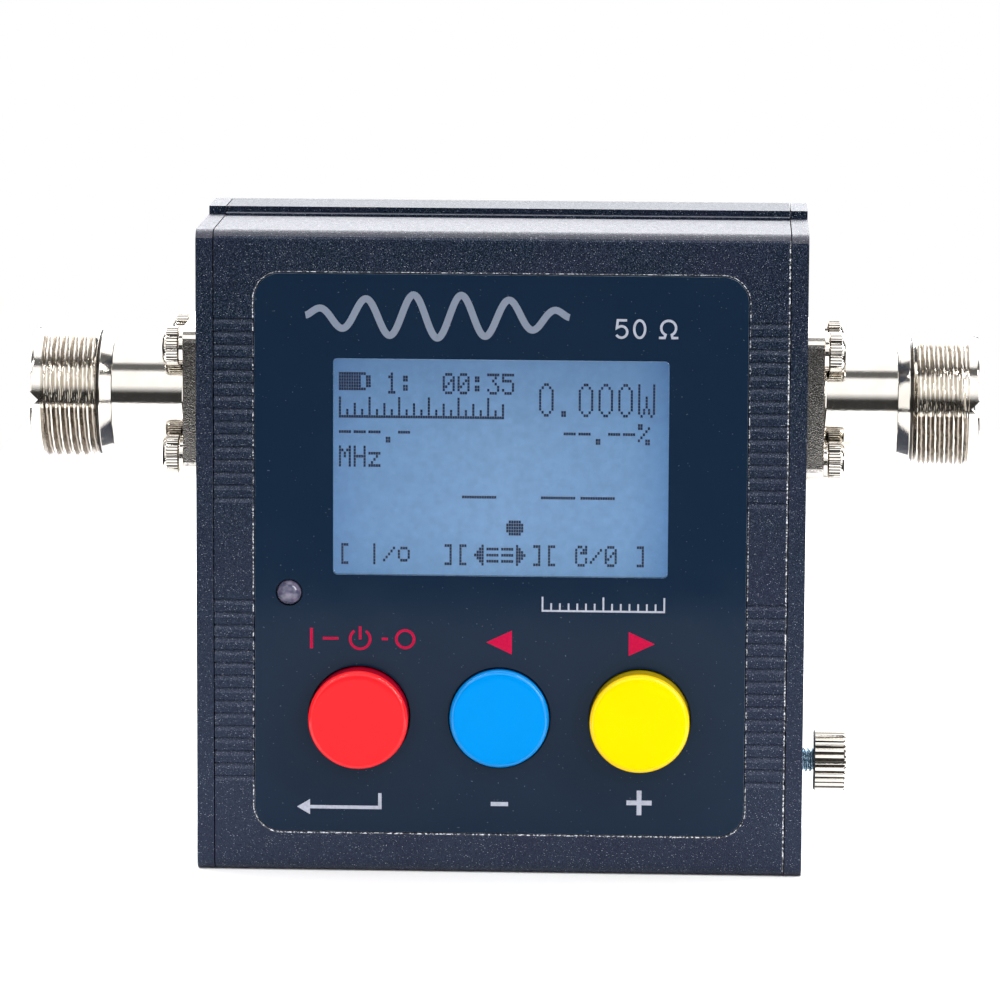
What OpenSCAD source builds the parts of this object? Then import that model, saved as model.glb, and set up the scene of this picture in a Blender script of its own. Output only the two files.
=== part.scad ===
// Pocket SWR and power meter with two UHF sockets.
// X runs along the antenna line, -Y faces the user, +Z is up, and the origin is on
// the underside, in the middle of the case.

/* [Case] */
// Width of the case over both end plates
case_w = 70; // [66:0.5:80]
// Depth of the case, front to back
case_d = 28; // [26:0.5:34]
// Height of the rear shell
case_h = 75.6; // [75:0.1:80]
// How far the rear shell stands above the front shell
shell_step = 0.95; // [0.4:0.05:1.2]
// Wall of both extruded shells
wall = 2; // [1.8:0.1:2.4]
// Thickness of each end plate
end_plate_t = 1.95; // [1.5:0.05:2.5]
// Radius along the long outer edges
edge_r = 1.5; // [0.5:0.05:1.8]

/* [Ribs] */
// Spacing of the horizontal ribs
rib_pitch = 1.48; // [1.4:0.01:1.5]
// Ribs in each of the two ribbed bands
rib_count = 15; // [8:1:15]
// Depth of the groove between two ribs
rib_depth = 0.3; // [0.1:0.05:0.4]
// Height of the lowest groove of the lower band
lower_rib_z = 11.2; // [10:0.1:12]
// Height of the lowest groove of the upper band
upper_rib_z = 43.8; // [43:0.1:45]

/* [Front panel] */
// Width of the glossy panel
panel_w = 56.5; // [54:0.1:58]
// Height of the glossy panel
panel_h = 65; // [62:0.1:66]
// Height of the panel's centre
panel_z = 37.3; // [36.5:0.1:38]
// Corner radius of the panel
panel_r = 3; // [2:0.1:4]
// Width of the clear display window
window_w = 38.5; // [36:0.1:39]
// Height of the clear display window
window_h = 25.15; // [24:0.05:26]
// Height of the window's centre
window_z = 47.5; // [47:0.1:48]

/* [Buttons] */
// Diameter of a button cap
cap_d = 11.5; // [10:0.1:11.8]
// Spacing of the buttons
button_pitch = 16.2; // [15:0.1:17]
// Height of the buttons' centres
button_z = 18.4; // [17:0.1:20]
// How far each cap stands proud of the panel: red, blue, yellow
cap_proud = [2.8, 1.0, 3.0]; // [0.8:0.1:3.4]
// Clearance between a cap and the panel
cap_gap = 0.35; // [0.2:0.05:0.5]

/* [UHF sockets] */
// Height of the sockets' axis
socket_z = 54; // [52:0.1:55]
// Side of the square flange
flange_side = 17.4; // [16.8:0.1:18]
// Thickness of the flange
flange_t = 2.02; // [1.8:0.01:2.2]
// Spacing of the four flange screws
flange_hole_pitch = 12.7; // [12.6:0.05:12.8]
// Outer diameter of the 5/8-24 thread
thread_d = 15.88; // [15.7:0.01:15.9]
// Diameter of the neck behind the thread
neck_d = 12.9; // [12:0.1:13.2]
// Bore of the centre contact, for a 3.96 mm plug pin
contact_bore_d = 4.06; // [4:0.01:4.2]

/* [Ground screw] */
// Height of the ground screw's axis
ground_z = 11.1; // [9:0.1:14]
// Diameter of the knurled head
ground_head_d = 7.4; // [6:0.1:9]
// Length of the knurled head
ground_head_l = 4; // [3:0.1:5]
// Gap left between the head and the case for a ground lug
ground_gap = 1.4; // [1:0.1:2]

/* [Hidden] */

$fn = 64;
eps = 0.01;
LEFT = -1;
RIGHT = 1;
RED = 0;
BLUE = 1;
YELLOW = 2;

powder_black = [0.10, 0.11, 0.15];
board_green = [0.05, 0.32, 0.16];
nickel = [0.76, 0.74, 0.70];
white_plastic = [0.93, 0.93, 0.90];
black_plastic = [0.06, 0.06, 0.07];
cap_colors = [[1.0, 0.17, 0.17], [0.0, 0.55, 0.95], [1.0, 0.92, 0.0]];

shell_l = case_w - 2 * end_plate_t;
front_y = -case_d / 2;
back_y = case_d / 2;
front_h = case_h - shell_step;
// the front shell ends at seam_y; a ledge of the rear shell runs from there to step_y
seam_y = 1.9;
step_y = 3.55;
ledge_h = front_h + 0.3;
seam_gap = 0.1;

// screw channels of the shells, as [y, z]
channel_r = 2.6;
channel_inset = 3.7;
front_channels = [[front_y + channel_inset, 4.2], [front_y + channel_inset, front_h - 4.2]];
rear_channels = [[back_y - channel_inset, 4.2], [back_y - channel_inset, case_h - 4.2]];
channels = concat(front_channels, rear_channels);

// M2.5 hardware
m25_r = 1.25;
m25_hole_r = 1.27;
m25_head_r = 2.25;
m25_clear_r = 1.35;
csk_head_r = 2.35;
csk_head_h = 1.15;

// the M3 ground screw
stud_r = 1.47;
stud_hole_r = 1.52;
stud_inside = 2;
stud_in_knob = 2.5;

groove_mouth = 0.75;
groove_floor = 0.5;

// the panel lies in a milled recess
recess_depth = 0.9;
recess_gap = 0.12;
panel_t = 0.85;
panel_back_y = front_y + recess_depth;
panel_front_y = panel_back_y - panel_t;
window_r = 0.5;
shell_window = [43, 32.5];

button_x = [-button_pitch, 0, button_pitch];
cap_r = cap_d / 2;
cap_l = 4.4;
cap_round = 0.5;
panel_hole_r = cap_r + cap_gap;
shell_hole_r = panel_hole_r + 0.1;
led_x = -24.3;
led_z = 32.8;
led_r = 1.5;
led_hole_r = 1.6;
led_proud = 0.7;

// board planes: y of the front face, and thickness
board_t = 1.6;
main_board_y = -6.6;
main_board_back = main_board_y + board_t;
main_board_w = 61;
main_board_z0 = 3;
main_board_h = 68.4;
switch_side = 12;
switch_h = 3.5;
switch_top_y = main_board_y - switch_h;
plunger_side = 3.8;
plunger_top_y = main_board_y - 7.3;
plunger_gap = 0.1;
plunger_root = 0.9;
standoff_x = 27.2;
standoff_z = [10, 65];

coupler_y = 4.35;
coupler_t = 1.2;
coupler_w = 60.8;
coupler_z0 = 45;
coupler_h = 20.5;
coupler_hole_x = 29;
coupler_hole_z = [48.5, 59.5];
shield_w = 53.4;
shield_z0 = 46;
shield_h = 16;
shield_y0 = -4.8;
shield_wall = 0.4;

// socket stations, measured outwards from the end plate's outer face
rear_boss_u = -3.2;
rear_boss_r = 5.8;
neck_end_u = 10.55;
collar_end_u = 12;
collar_in_r = 6.75;
collar_out_r = 7.4;
thread_start_u = 12.2;
thread_end_u = 18.6;
rim_u = 20;
rim_r = 7.45;
rim_chamfer = 0.25;
flange_corner_r = 1.6;
notch_depth = 1;
notch_half = 0.95;
insulator_rear_u = -3.6;
insulator_step_u = 12;
insulator_front_u = 18.6;
insulator_rear_r = 4.95;
insulator_front_r = 6.15;
contact_r = 2.8;
contact_rear_u = 4;
contact_front_u = 19;
contact_bore_l = 8.5;
contact_pin_r = 1.25;
contact_pin_u = -9.5;
washer_t = 0.52;
screw_head_l = 1.95;
flange_screw_reach = 4;
fit_gap = 0.03;

line_r = 1.1;
core_x = -9;
core_r = 3.9;
core_bore_r = 2.1;
core_l = 3.3;
turns = 12;
wire_t = 0.35;

battery = [50, 5.4, 34];
battery_y = 5.4;
battery_z = 8;
lead_r = 0.55;
lead_x = 20;
lead_pitch = 2;
lead_z = 43.8;
lead_bend_r = 1.2;
pad = [40, 26];
// the battery plug, the header that it goes into, and the y of the plug's rear face
plug = [6, 3.4, 3.8];
header_w = 7.2;
header_h = 4.2;
plug_y = 1;

usb_w = 7.7;
usb_h = 3.9;
usb_l = 9.2;
usb_z = 17;
usb_wall = 0.3;
usb_depth = 6;
usb_tongue = [6, 1, 5.2];
usb_slot_gap = 0.4;

// sizes of the parts on the main board, and where they stand on it as [x, z]
chip = [10, 1.4, 10];
chip_place = [-8, 30];
inductor = [7, 3, 7];
inductor_place = [10, 14];
link_w = 10.2;
link_h = 2.5;
link_z = 62.6;

// ---- helpers -------------------------------------------------------------

// lays a 2D shape drawn in (y, z) along +X from x0
module along_x(x0, l) {
    translate([x0, 0, 0]) rotate([90, 0, 90]) linear_extrude(l) children();
}

// lays a 2D shape drawn in (x, z) along +Y from y0
module along_y(y0, l) {
    translate([0, y0 + l, 0]) rotate([90, 0, 0]) linear_extrude(l) children();
}

// a rectangle with round corners, from corner a to corner b
module round_rect(a, b, r) {
    translate([a.x + r, a.y]) square([b.x - a.x - 2 * r, b.y - a.y]);
    translate([a.x, a.y + r]) square([b.x - a.x, b.y - a.y - 2 * r]);
    for (x = [a.x + r, b.x - r], y = [a.y + r, b.y - r]) translate([x, y]) circle(r);
}

module centred_round_rect(w, h, r) {
    round_rect([-w / 2, -h / 2], [w / 2, h / 2], r);
}

// rectangle from corner a to corner b
module rect(a, b) {
    translate(a) square([b.x - a.x, b.y - a.y]);
}

// a cylinder along X from x0 to x1
module rod_x(x0, x1, r) {
    translate([x0, 0, 0]) rotate([0, 90, 0]) cylinder(h = x1 - x0, r = r);
}

// a cylinder along Y from y0 to y1
module rod_y(y0, y1, r) {
    translate([0, y0, 0]) rotate([-90, 0, 0]) cylinder(h = y1 - y0, r = r);
}

// a cylinder along Z from z0 to z1
module rod_z(z0, z1, r) {
    translate([0, 0, z0]) cylinder(h = z1 - z0, r = r);
}

// a cone along Z from z0 to z1
module cone_z(z0, z1, r0, r1) {
    translate([0, 0, z0]) cylinder(h = z1 - z0, r1 = r0, r2 = r1);
}

// puts a piece drawn on the right-hand side, or its mirror image, on one side
module on_side(side) {
    if (side == RIGHT) children();
    else mirror([1, 0, 0]) children();
}

// places its children at the four flange screws
module at_flange_holes() {
    for (y = [-1, 1], z = [-1, 1])
        translate([case_w / 2, y * flange_hole_pitch / 2, socket_z + z * flange_hole_pitch / 2]) children();
}

// ---- case ----------------------------------------------------------------

module rib_grooves(z0) {
    for (i = [0 : rib_count - 1]) translate([front_y, z0 + i * rib_pitch]) polygon([
        [-eps, -groove_mouth / 2], [rib_depth, -groove_floor / 2],
        [rib_depth, groove_floor / 2], [-eps, groove_mouth / 2]
    ]);
}

module front_profile() {
    difference() {
        union() {
            difference() {
                intersection() {
                    round_rect([front_y, 0], [back_y, front_h], edge_r);
                    rect([front_y - 1, -1], [seam_y, case_h + 1]);
                }
                rect([front_y + wall, wall], [seam_y + 1, front_h - wall]);
            }
            for (c = front_channels) translate(c) circle(channel_r);
        }
        for (c = front_channels) translate(c) circle(m25_hole_r);
        rib_grooves(lower_rib_z);
        rib_grooves(upper_rib_z);
    }
}

module front_shell() {
    color(powder_black) difference() {
        along_x(-shell_l / 2, shell_l) front_profile();
        translate([0, 0, panel_z]) along_y(front_y - 1, 1 + recess_depth)
            centred_round_rect(panel_w + 2 * recess_gap, panel_h + 2 * recess_gap, panel_r + recess_gap);
        translate([0, 0, window_z]) along_y(front_y, wall + 1)
            square(shell_window, center = true);
        for (x = button_x) translate([x, 0, button_z]) rod_y(front_y, front_y + wall + 1, shell_hole_r);
        translate([led_x, 0, led_z]) rod_y(front_y, front_y + wall + 1, led_hole_r);
    }
}

module rear_profile() {
    ledge_start = seam_y + seam_gap;
    difference() {
        union() {
            difference() {
                union() {
                    intersection() {
                        round_rect([front_y, 0], [back_y, case_h], edge_r);
                        rect([step_y, -1], [back_y + 1, case_h + 1]);
                    }
                    rect([ledge_start, 0], [step_y + eps, ledge_h]);
                }
                rect([ledge_start - 1, wall], [step_y, front_h - wall]);
                rect([step_y - eps, wall], [back_y - wall, case_h - wall]);
            }
            for (c = rear_channels) translate(c) circle(channel_r);
        }
        for (c = rear_channels) translate(c) circle(m25_hole_r);
    }
}

module rear_shell() {
    color(powder_black) along_x(-shell_l / 2, shell_l) rear_profile();
}

module end_plate_outline() {
    intersection() {
        round_rect([front_y, 0], [back_y, front_h], edge_r);
        rect([front_y - 1, -1], [step_y, case_h]);
    }
    intersection() {
        round_rect([front_y, 0], [back_y, case_h], edge_r);
        rect([step_y - eps, -1], [back_y + 1, case_h + 1]);
    }
}

module countersink() {
    cone_z(-csk_head_h, 0, m25_hole_r, csk_head_r);
    rod_z(0, 1, csk_head_r);
}

module end_plate(side) {
    inner_x = case_w / 2 - end_plate_t;
    color(powder_black) on_side(side) difference() {
        along_x(inner_x, end_plate_t) end_plate_outline();
        for (c = channels) translate([0, c.x, c.y]) {
            rod_x(inner_x - 1, case_w / 2 + 1, m25_hole_r);
            translate([case_w / 2, 0, 0]) rotate([0, 90, 0]) countersink();
        }
        translate([0, 0, socket_z]) rod_x(inner_x - 1, case_w / 2 + 1, rear_boss_r + 0.1);
        at_flange_holes() rod_x(-end_plate_t - 1, 1, m25_hole_r);
        if (side == RIGHT)
            translate([0, 0, ground_z]) rod_x(inner_x - 1, case_w / 2 + 1, stud_hole_r);
        if (side == LEFT)
            translate([inner_x - 1, main_board_back - usb_slot_gap, usb_z - usb_w / 2 - usb_slot_gap])
                cube([end_plate_t + 2, usb_h + 2 * usb_slot_gap, usb_w + 2 * usb_slot_gap]);
    }
}

module countersunk_screw(l) {
    difference() {
        union() {
            cone_z(-csk_head_h, -0.1, m25_r, csk_head_r - 0.12);
            rod_z(-l, eps - csk_head_h, m25_r);
        }
        for (a = [0, 90]) rotate(a) translate([-1.2, -0.25, -0.8]) cube([2.4, 0.5, 1]);
    }
}

module end_plate_screws(side) {
    color([0.12, 0.12, 0.13]) on_side(side) for (c = channels)
        translate([case_w / 2, c.x, c.y]) rotate([0, 90, 0]) countersunk_screw(8);
}

// ---- front panel and controls ---------------------------------------------

module front_panel() {
    color([0.06, 0.10, 0.15]) difference() {
        translate([0, 0, panel_z]) along_y(panel_front_y, panel_t)
            centred_round_rect(panel_w, panel_h, panel_r);
        translate([0, 0, window_z]) along_y(panel_front_y - 1, panel_t + 2)
            centred_round_rect(window_w, window_h, window_r);
        for (x = button_x) translate([x, 0, button_z]) rod_y(front_y - 1, front_y + 2, panel_hole_r);
        translate([led_x, 0, led_z]) rod_y(front_y - 1, front_y + 2, led_hole_r);
    }
}

module display_window() {
    color([0.75, 0.88, 0.97, 0.35]) translate([0, 0, window_z]) along_y(panel_front_y, panel_t)
        centred_round_rect(window_w - 2 * fit_gap, window_h - 2 * fit_gap, window_r);
}

// outline of a cap in (radius, height), with a rounded front edge
module cap_section() {
    translate([cap_r - cap_round, cap_l - cap_round]) circle(cap_round);
    square([cap_r - cap_round, cap_l]);
    square([cap_r, cap_l - cap_round]);
}

module button_cap(i) {
    face_y = front_y - cap_proud[i];
    socket_l = face_y + cap_l - plunger_top_y;
    color(cap_colors[i]) translate([button_x[i], face_y + cap_l, button_z]) rotate([90, 0, 0]) difference() {
        rotate_extrude() intersection() {
            cap_section();
            square([cap_r, cap_l]);
        }
        translate([0, 0, -1]) linear_extrude(1 + socket_l + fit_gap)
            square(plunger_side + 2 * fit_gap, center = true);
    }
}

module switch_plunger(i) {
    length = switch_top_y - plunger_top_y + plunger_root;
    color(black_plastic) translate([button_x[i], 0, button_z]) along_y(plunger_top_y, length)
        square(plunger_side, center = true);
}

module switch_body(i) {
    guide = plunger_side + 2 * plunger_gap;
    color(black_plastic) translate([button_x[i], 0, button_z]) difference() {
        along_y(switch_top_y, switch_h) square(switch_side, center = true);
        along_y(switch_top_y - 1, 1 + plunger_root + 0.5) square(guide, center = true);
    }
}

module status_led() {
    dome_y = front_y - led_proud + led_r;
    color([0.80, 0.86, 0.92, 0.5]) translate([led_x, 0, led_z]) {
        rod_y(dome_y, main_board_y, led_r);
        translate([0, dome_y, 0]) sphere(led_r);
    }
}

// ---- display ---------------------------------------------------------------

lcd_glass_y = panel_back_y + 0.15;
lcd_glass_t = 1.8;
backlight_t = 2.8;
backlight_y = lcd_glass_y + lcd_glass_t;
foam_y = backlight_y + backlight_t;

module lcd_glass() {
    color([0.45, 0.62, 0.80]) translate([0, 0, window_z]) along_y(lcd_glass_y, lcd_glass_t)
        square([42, 31.5], center = true);
}

module lcd_backlight() {
    color(white_plastic) translate([0, 0, window_z]) along_y(backlight_y, backlight_t)
        square([42, 31.5], center = true);
}

module lcd_foam_pad() {
    color([0.20, 0.20, 0.20]) translate([0, 0, window_z]) along_y(foam_y, main_board_y - foam_y)
        square([36, 24], center = true);
}

// ---- UHF sockets -----------------------------------------------------------

// the socket's own axis is +Z here, with height 0 on the end plate's outer face
module at_socket() {
    translate([case_w / 2, 0, socket_z]) rotate([0, 90, 0]) children();
}

module connector_body(side) {
    neck_r = neck_d / 2;
    thread_r = thread_d / 2;
    color(nickel) on_side(side) at_socket() difference() {
        union() {
            rod_z(rear_boss_u, flange_t / 2, rear_boss_r);
            linear_extrude(flange_t) centred_round_rect(flange_side, flange_side, flange_corner_r);
            rod_z(0, neck_end_u, neck_r);
            cone_z(neck_end_u, collar_end_u, collar_in_r, collar_out_r);
            rod_z(collar_end_u, thread_start_u, thread_r - 0.9);
            rod_z(thread_start_u, thread_end_u, thread_r);
            rod_z(thread_end_u, rim_u - rim_chamfer, rim_r);
            cone_z(rim_u - rim_chamfer, rim_u, rim_r, rim_r - rim_chamfer);
        }
        rod_z(rear_boss_u - 1, rim_u + 1, insulator_rear_r + fit_gap);
        rod_z(insulator_step_u, rim_u + 1, insulator_front_r + fit_gap);
        for (x = [-1, 1], y = [-1, 1]) translate([x, y] * flange_hole_pitch / 2)
            rod_z(-1, flange_t + 1, m25_clear_r);
        rim_notches();
    }
}

// four V notches across the rim, which key the plug
module rim_notches() {
    for (a = [0, 90]) rotate(a) translate([10, 0, rim_u]) rotate([0, -90, 0])
        linear_extrude(20) polygon([[-notch_depth, 0], [eps, -notch_half], [eps, notch_half]]);
}

module insulator(side) {
    color(white_plastic) on_side(side) at_socket() difference() {
        union() {
            rod_z(insulator_rear_u, insulator_step_u, insulator_rear_r);
            rod_z(insulator_step_u, insulator_front_u, insulator_front_r);
        }
        rod_z(contact_rear_u, insulator_front_u + 1, contact_r + fit_gap);
        rod_z(insulator_rear_u - 1, contact_rear_u + 1, contact_pin_r + fit_gap);
    }
}

module centre_contact(side) {
    chamfer = 0.3;
    color([0.85, 0.72, 0.40]) on_side(side) at_socket() difference() {
        union() {
            rod_z(contact_rear_u, contact_front_u - chamfer, contact_r);
            cone_z(contact_front_u - chamfer, contact_front_u, contact_r, contact_r - chamfer);
            rod_z(contact_pin_u, contact_rear_u + 1, contact_pin_r);
        }
        rod_z(contact_front_u - contact_bore_l, contact_front_u + 1, contact_bore_d / 2);
    }
}

module connector_screws(side) {
    head_u = flange_t + washer_t;
    color(nickel) on_side(side) at_flange_holes() rotate([0, 90, 0]) difference() {
        union() {
            rod_z(-flange_screw_reach, head_u + eps, m25_r);
            rod_z(head_u, head_u + screw_head_l, m25_head_r);
        }
        translate([0, 0, head_u + 0.7]) cylinder(h = 3, r = 1.15, $fn = 6);
    }
}

module connector_washers(side) {
    color(nickel) on_side(side) at_flange_holes() rotate([0, 90, 0]) difference() {
        rod_z(flange_t, flange_t + washer_t, m25_head_r - 0.05);
        rod_z(flange_t - 1, flange_t + 1, m25_clear_r);
    }
}

module ground_screw_stud() {
    color(nickel) translate([0, 0, ground_z])
        rod_x(case_w / 2 - end_plate_t - stud_inside, case_w / 2 + ground_gap + stud_in_knob, stud_r);
}

module ground_screw_knob() {
    chamfer = 0.4;
    head_r = ground_head_d / 2;
    color(nickel) translate([case_w / 2 + ground_gap, 0, ground_z]) rotate([0, 90, 0]) difference() {
        union() {
            rod_z(0, ground_head_l - chamfer, head_r);
            cone_z(ground_head_l - chamfer, ground_head_l, head_r, head_r - chamfer);
        }
        rod_z(-1, stud_in_knob + fit_gap, stud_r + fit_gap);
    }
}

// ---- boards ----------------------------------------------------------------

module main_board() {
    color(board_green) difference() {
        translate([0, 0, main_board_z0 + main_board_h / 2]) along_y(main_board_y, board_t)
            square([main_board_w, main_board_h], center = true);
        for (x = [-1, 1], z = standoff_z) translate([x * standoff_x, 0, z])
            rod_y(main_board_y - 1, main_board_back + 1, m25_clear_r);
    }
}

module board_standoffs() {
    color("goldenrod") for (x = [-1, 1], z = standoff_z) translate([x * standoff_x, 0, z]) difference() {
        along_y(front_y + wall, main_board_y - front_y - wall) circle(2.5, $fn = 6);
        rod_y(main_board_y - 4.5, main_board_y + 1, m25_hole_r);
    }
}

module board_screws() {
    color("silver") for (x = [-1, 1], z = standoff_z) translate([x * standoff_x, 0, z]) {
        rod_y(main_board_y - 4, main_board_back + eps, m25_r);
        rod_y(main_board_back, main_board_back + 1.4, m25_head_r);
    }
}

module controller_chip() {
    color(black_plastic) translate([chip_place.x, main_board_back, chip_place.y]) cube(chip);
}

module power_inductor() {
    color([0.25, 0.25, 0.27]) translate([inductor_place.x, main_board_back, inductor_place.y])
        cube(inductor);
}

module charging_socket() {
    shell_x = -case_w / 2 + 0.1;
    tongue_y = main_board_back + (usb_h - usb_tongue.y) / 2;
    color("silver") translate([shell_x, main_board_back, usb_z - usb_w / 2]) difference() {
        cube([usb_l, usb_h, usb_w]);
        translate([-1, usb_wall, usb_wall]) cube([1 + usb_depth, usb_h - 2 * usb_wall, usb_w - 2 * usb_wall]);
    }
    color(black_plastic) translate([shell_x + 1, tongue_y, usb_z - usb_tongue.z / 2]) cube(usb_tongue);
}

module coupler_board() {
    color(board_green) difference() {
        translate([0, 0, coupler_z0 + coupler_h / 2]) along_y(coupler_y, coupler_t)
            square([coupler_w, coupler_h], center = true);
        for (x = [-1, 1], z = coupler_hole_z) translate([x * coupler_hole_x, 0, z])
            rod_y(coupler_y - 1, coupler_y + coupler_t + 1, 1.1);
    }
}

module coupler_standoffs() {
    base_y = coupler_y + coupler_t;
    color("goldenrod") for (x = [-1, 1], z = coupler_hole_z) translate([x * coupler_hole_x, 0, z])
        difference() {
            rod_y(base_y, back_y - wall, 1.8);
            rod_y(base_y - 1, base_y + 4.5, 1.02);
        }
}

module coupler_screws() {
    color("silver") for (x = [-1, 1], z = coupler_hole_z) translate([x * coupler_hole_x, 0, z]) {
        rod_y(coupler_y - eps, coupler_y + coupler_t + 4, 1);
        rod_y(coupler_y - 1.2, coupler_y, 1.8);
    }
}

module rf_shield() {
    color([0.80, 0.80, 0.78]) difference() {
        translate([-shield_w / 2, shield_y0, shield_z0]) cube([shield_w, coupler_y - shield_y0, shield_h]);
        translate([-shield_w / 2 + shield_wall, shield_y0 + shield_wall, shield_z0 + shield_wall])
            cube([shield_w - 2 * shield_wall, coupler_y - shield_y0, shield_h - 2 * shield_wall]);
        translate([0, 0, socket_z]) rod_x(-case_w / 2, case_w / 2, 2.4);
    }
}

module through_line() {
    end_x = case_w / 2 + contact_pin_u;
    color([0.80, 0.60, 0.25]) translate([0, 0, socket_z]) rod_x(-end_x, end_x, line_r);
}

module transformer_core() {
    color([0.25, 0.26, 0.28]) translate([core_x, 0, socket_z]) rotate([0, 90, 0]) difference() {
        translate([0, 0, -core_l / 2]) cylinder(h = core_l, r = core_r);
        cylinder(h = core_l + 2, r = core_bore_r, center = true);
    }
}

// separate square turns of enamelled wire around the core's ring
module transformer_winding() {
    ring = core_r - core_bore_r;
    gap = 0.05;
    frame_w = ring + 2 * gap;
    frame_l = core_l + 2 * gap;
    color([0.70, 0.32, 0.14]) translate([core_x, 0, socket_z]) for (i = [0 : turns - 1])
        rotate([15 + i * 270 / turns, 0, 0]) translate([0, 0, core_bore_r - gap])
            translate([-frame_l / 2, -wire_t / 2, 0]) difference() {
                translate([-wire_t, 0, -wire_t]) cube([frame_l + 2 * wire_t, wire_t, frame_w + 2 * wire_t]);
                translate([0, -1, 0]) cube([frame_l, wire_t + 2, frame_w]);
            }
}

module board_link_connector() {
    color(black_plastic) translate([-link_w / 2, main_board_back, link_z])
        cube([link_w, coupler_y - main_board_back, link_h]);
}

// ---- battery ----------------------------------------------------------------

module battery_pack() {
    color([0.55, 0.58, 0.62]) translate([-battery.x / 2, battery_y, battery_z]) cube(battery);
}

module battery_pad() {
    pad_y = battery_y + battery.y;
    color([0.85, 0.85, 0.80]) translate([-pad.x / 2, pad_y, battery_z + (battery.z - pad.y) / 2])
        cube([pad.x, back_y - wall - pad_y, pad.y]);
}

// leaves the pack upwards, bends forwards and runs to the plug
module battery_lead(x) {
    rise_y = battery_y + battery.y / 2;
    pack_top = battery_z + battery.z;
    translate([x, rise_y, pack_top]) cylinder(h = lead_z - lead_bend_r - pack_top, r = lead_r);
    translate([x, rise_y - lead_bend_r, lead_z - lead_bend_r]) rotate([90, 0, 90])
        rotate_extrude(angle = 90) translate([lead_bend_r, 0]) circle(lead_r);
    translate([x, 0, lead_z]) rod_y(plug_y, rise_y - lead_bend_r, lead_r);
}

module battery_lead_red() {
    color("red") battery_lead(lead_x);
}

module battery_lead_black() {
    color(black_plastic) battery_lead(lead_x + lead_pitch);
}

// both stand around the middle of the two leads
module battery_plug() {
    color(white_plastic) translate([lead_x + (lead_pitch - plug.x) / 2, plug_y - plug.y, lead_z - plug.z / 2])
        cube(plug);
}

module battery_socket() {
    header_l = plug_y - plug.y - main_board_back;
    color(white_plastic)
        translate([lead_x + (lead_pitch - header_w) / 2, main_board_back, lead_z - header_h / 2])
            cube([header_w, header_l, header_h]);
}

// ---- assembly ---------------------------------------------------------------

front_shell();
rear_shell();
end_plate(LEFT);  // left_end_plate
end_plate(RIGHT);  // right_end_plate
end_plate_screws(LEFT);  // left_end_plate_screws
end_plate_screws(RIGHT);  // right_end_plate_screws
front_panel();
display_window();
button_cap(RED);  // red_button_cap
button_cap(BLUE);  // blue_button_cap
button_cap(YELLOW);  // yellow_button_cap
switch_plunger(RED);  // red_switch_plunger
switch_plunger(BLUE);  // blue_switch_plunger
switch_plunger(YELLOW);  // yellow_switch_plunger
switch_body(RED);  // red_switch_body
switch_body(BLUE);  // blue_switch_body
switch_body(YELLOW);  // yellow_switch_body
status_led();
ground_screw_stud();
ground_screw_knob();
connector_body(LEFT);  // left_connector_body
connector_body(RIGHT);  // right_connector_body
insulator(LEFT);  // left_insulator
insulator(RIGHT);  // right_insulator
centre_contact(LEFT);  // left_centre_contact
centre_contact(RIGHT);  // right_centre_contact
connector_screws(LEFT);  // left_connector_screws
connector_screws(RIGHT);  // right_connector_screws
connector_washers(LEFT);  // left_connector_washers
connector_washers(RIGHT);  // right_connector_washers
lcd_glass();
lcd_backlight();
lcd_foam_pad();
main_board();
board_standoffs();
board_screws();
controller_chip();
power_inductor();
charging_socket();
coupler_board();
coupler_standoffs();
coupler_screws();
rf_shield();
through_line();
transformer_core();
transformer_winding();
board_link_connector();
battery_pack();
battery_pad();
battery_lead_red();
battery_lead_black();
battery_plug();
battery_socket();
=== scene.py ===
"""Looks for the pocket SWR meter: detailed shells, sockets, controls, display and their materials."""

import math

import bmesh
import bpy
from mathutils import Matrix, Vector

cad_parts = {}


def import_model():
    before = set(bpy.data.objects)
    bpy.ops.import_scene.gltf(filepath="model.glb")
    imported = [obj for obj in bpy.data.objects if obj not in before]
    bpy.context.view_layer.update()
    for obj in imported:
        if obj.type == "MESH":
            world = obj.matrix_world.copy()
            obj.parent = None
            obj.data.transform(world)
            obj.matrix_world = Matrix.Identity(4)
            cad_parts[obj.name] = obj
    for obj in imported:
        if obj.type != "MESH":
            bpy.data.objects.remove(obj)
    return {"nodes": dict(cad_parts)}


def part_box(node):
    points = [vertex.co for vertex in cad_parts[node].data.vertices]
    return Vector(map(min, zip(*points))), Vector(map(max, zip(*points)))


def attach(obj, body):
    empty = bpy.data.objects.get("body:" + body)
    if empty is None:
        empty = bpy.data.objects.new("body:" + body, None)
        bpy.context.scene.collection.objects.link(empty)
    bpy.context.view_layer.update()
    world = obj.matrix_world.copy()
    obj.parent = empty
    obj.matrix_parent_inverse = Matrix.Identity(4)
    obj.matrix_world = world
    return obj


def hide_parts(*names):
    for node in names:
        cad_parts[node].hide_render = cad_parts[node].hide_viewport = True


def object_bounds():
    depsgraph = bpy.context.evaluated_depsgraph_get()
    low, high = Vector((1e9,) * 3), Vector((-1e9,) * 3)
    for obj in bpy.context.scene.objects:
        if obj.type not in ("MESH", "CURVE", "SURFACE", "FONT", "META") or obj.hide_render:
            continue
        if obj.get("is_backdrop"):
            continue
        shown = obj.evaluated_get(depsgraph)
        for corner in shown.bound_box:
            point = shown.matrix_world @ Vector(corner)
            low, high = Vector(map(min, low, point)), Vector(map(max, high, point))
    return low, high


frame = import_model()
cad_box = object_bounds()

MM = 0.001
TAU = 2 * math.pi

# ---- dimensions read from the frame, in millimetres ----


def mm_box(node):
    low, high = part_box(node)
    return low / MM, high / MM


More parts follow.
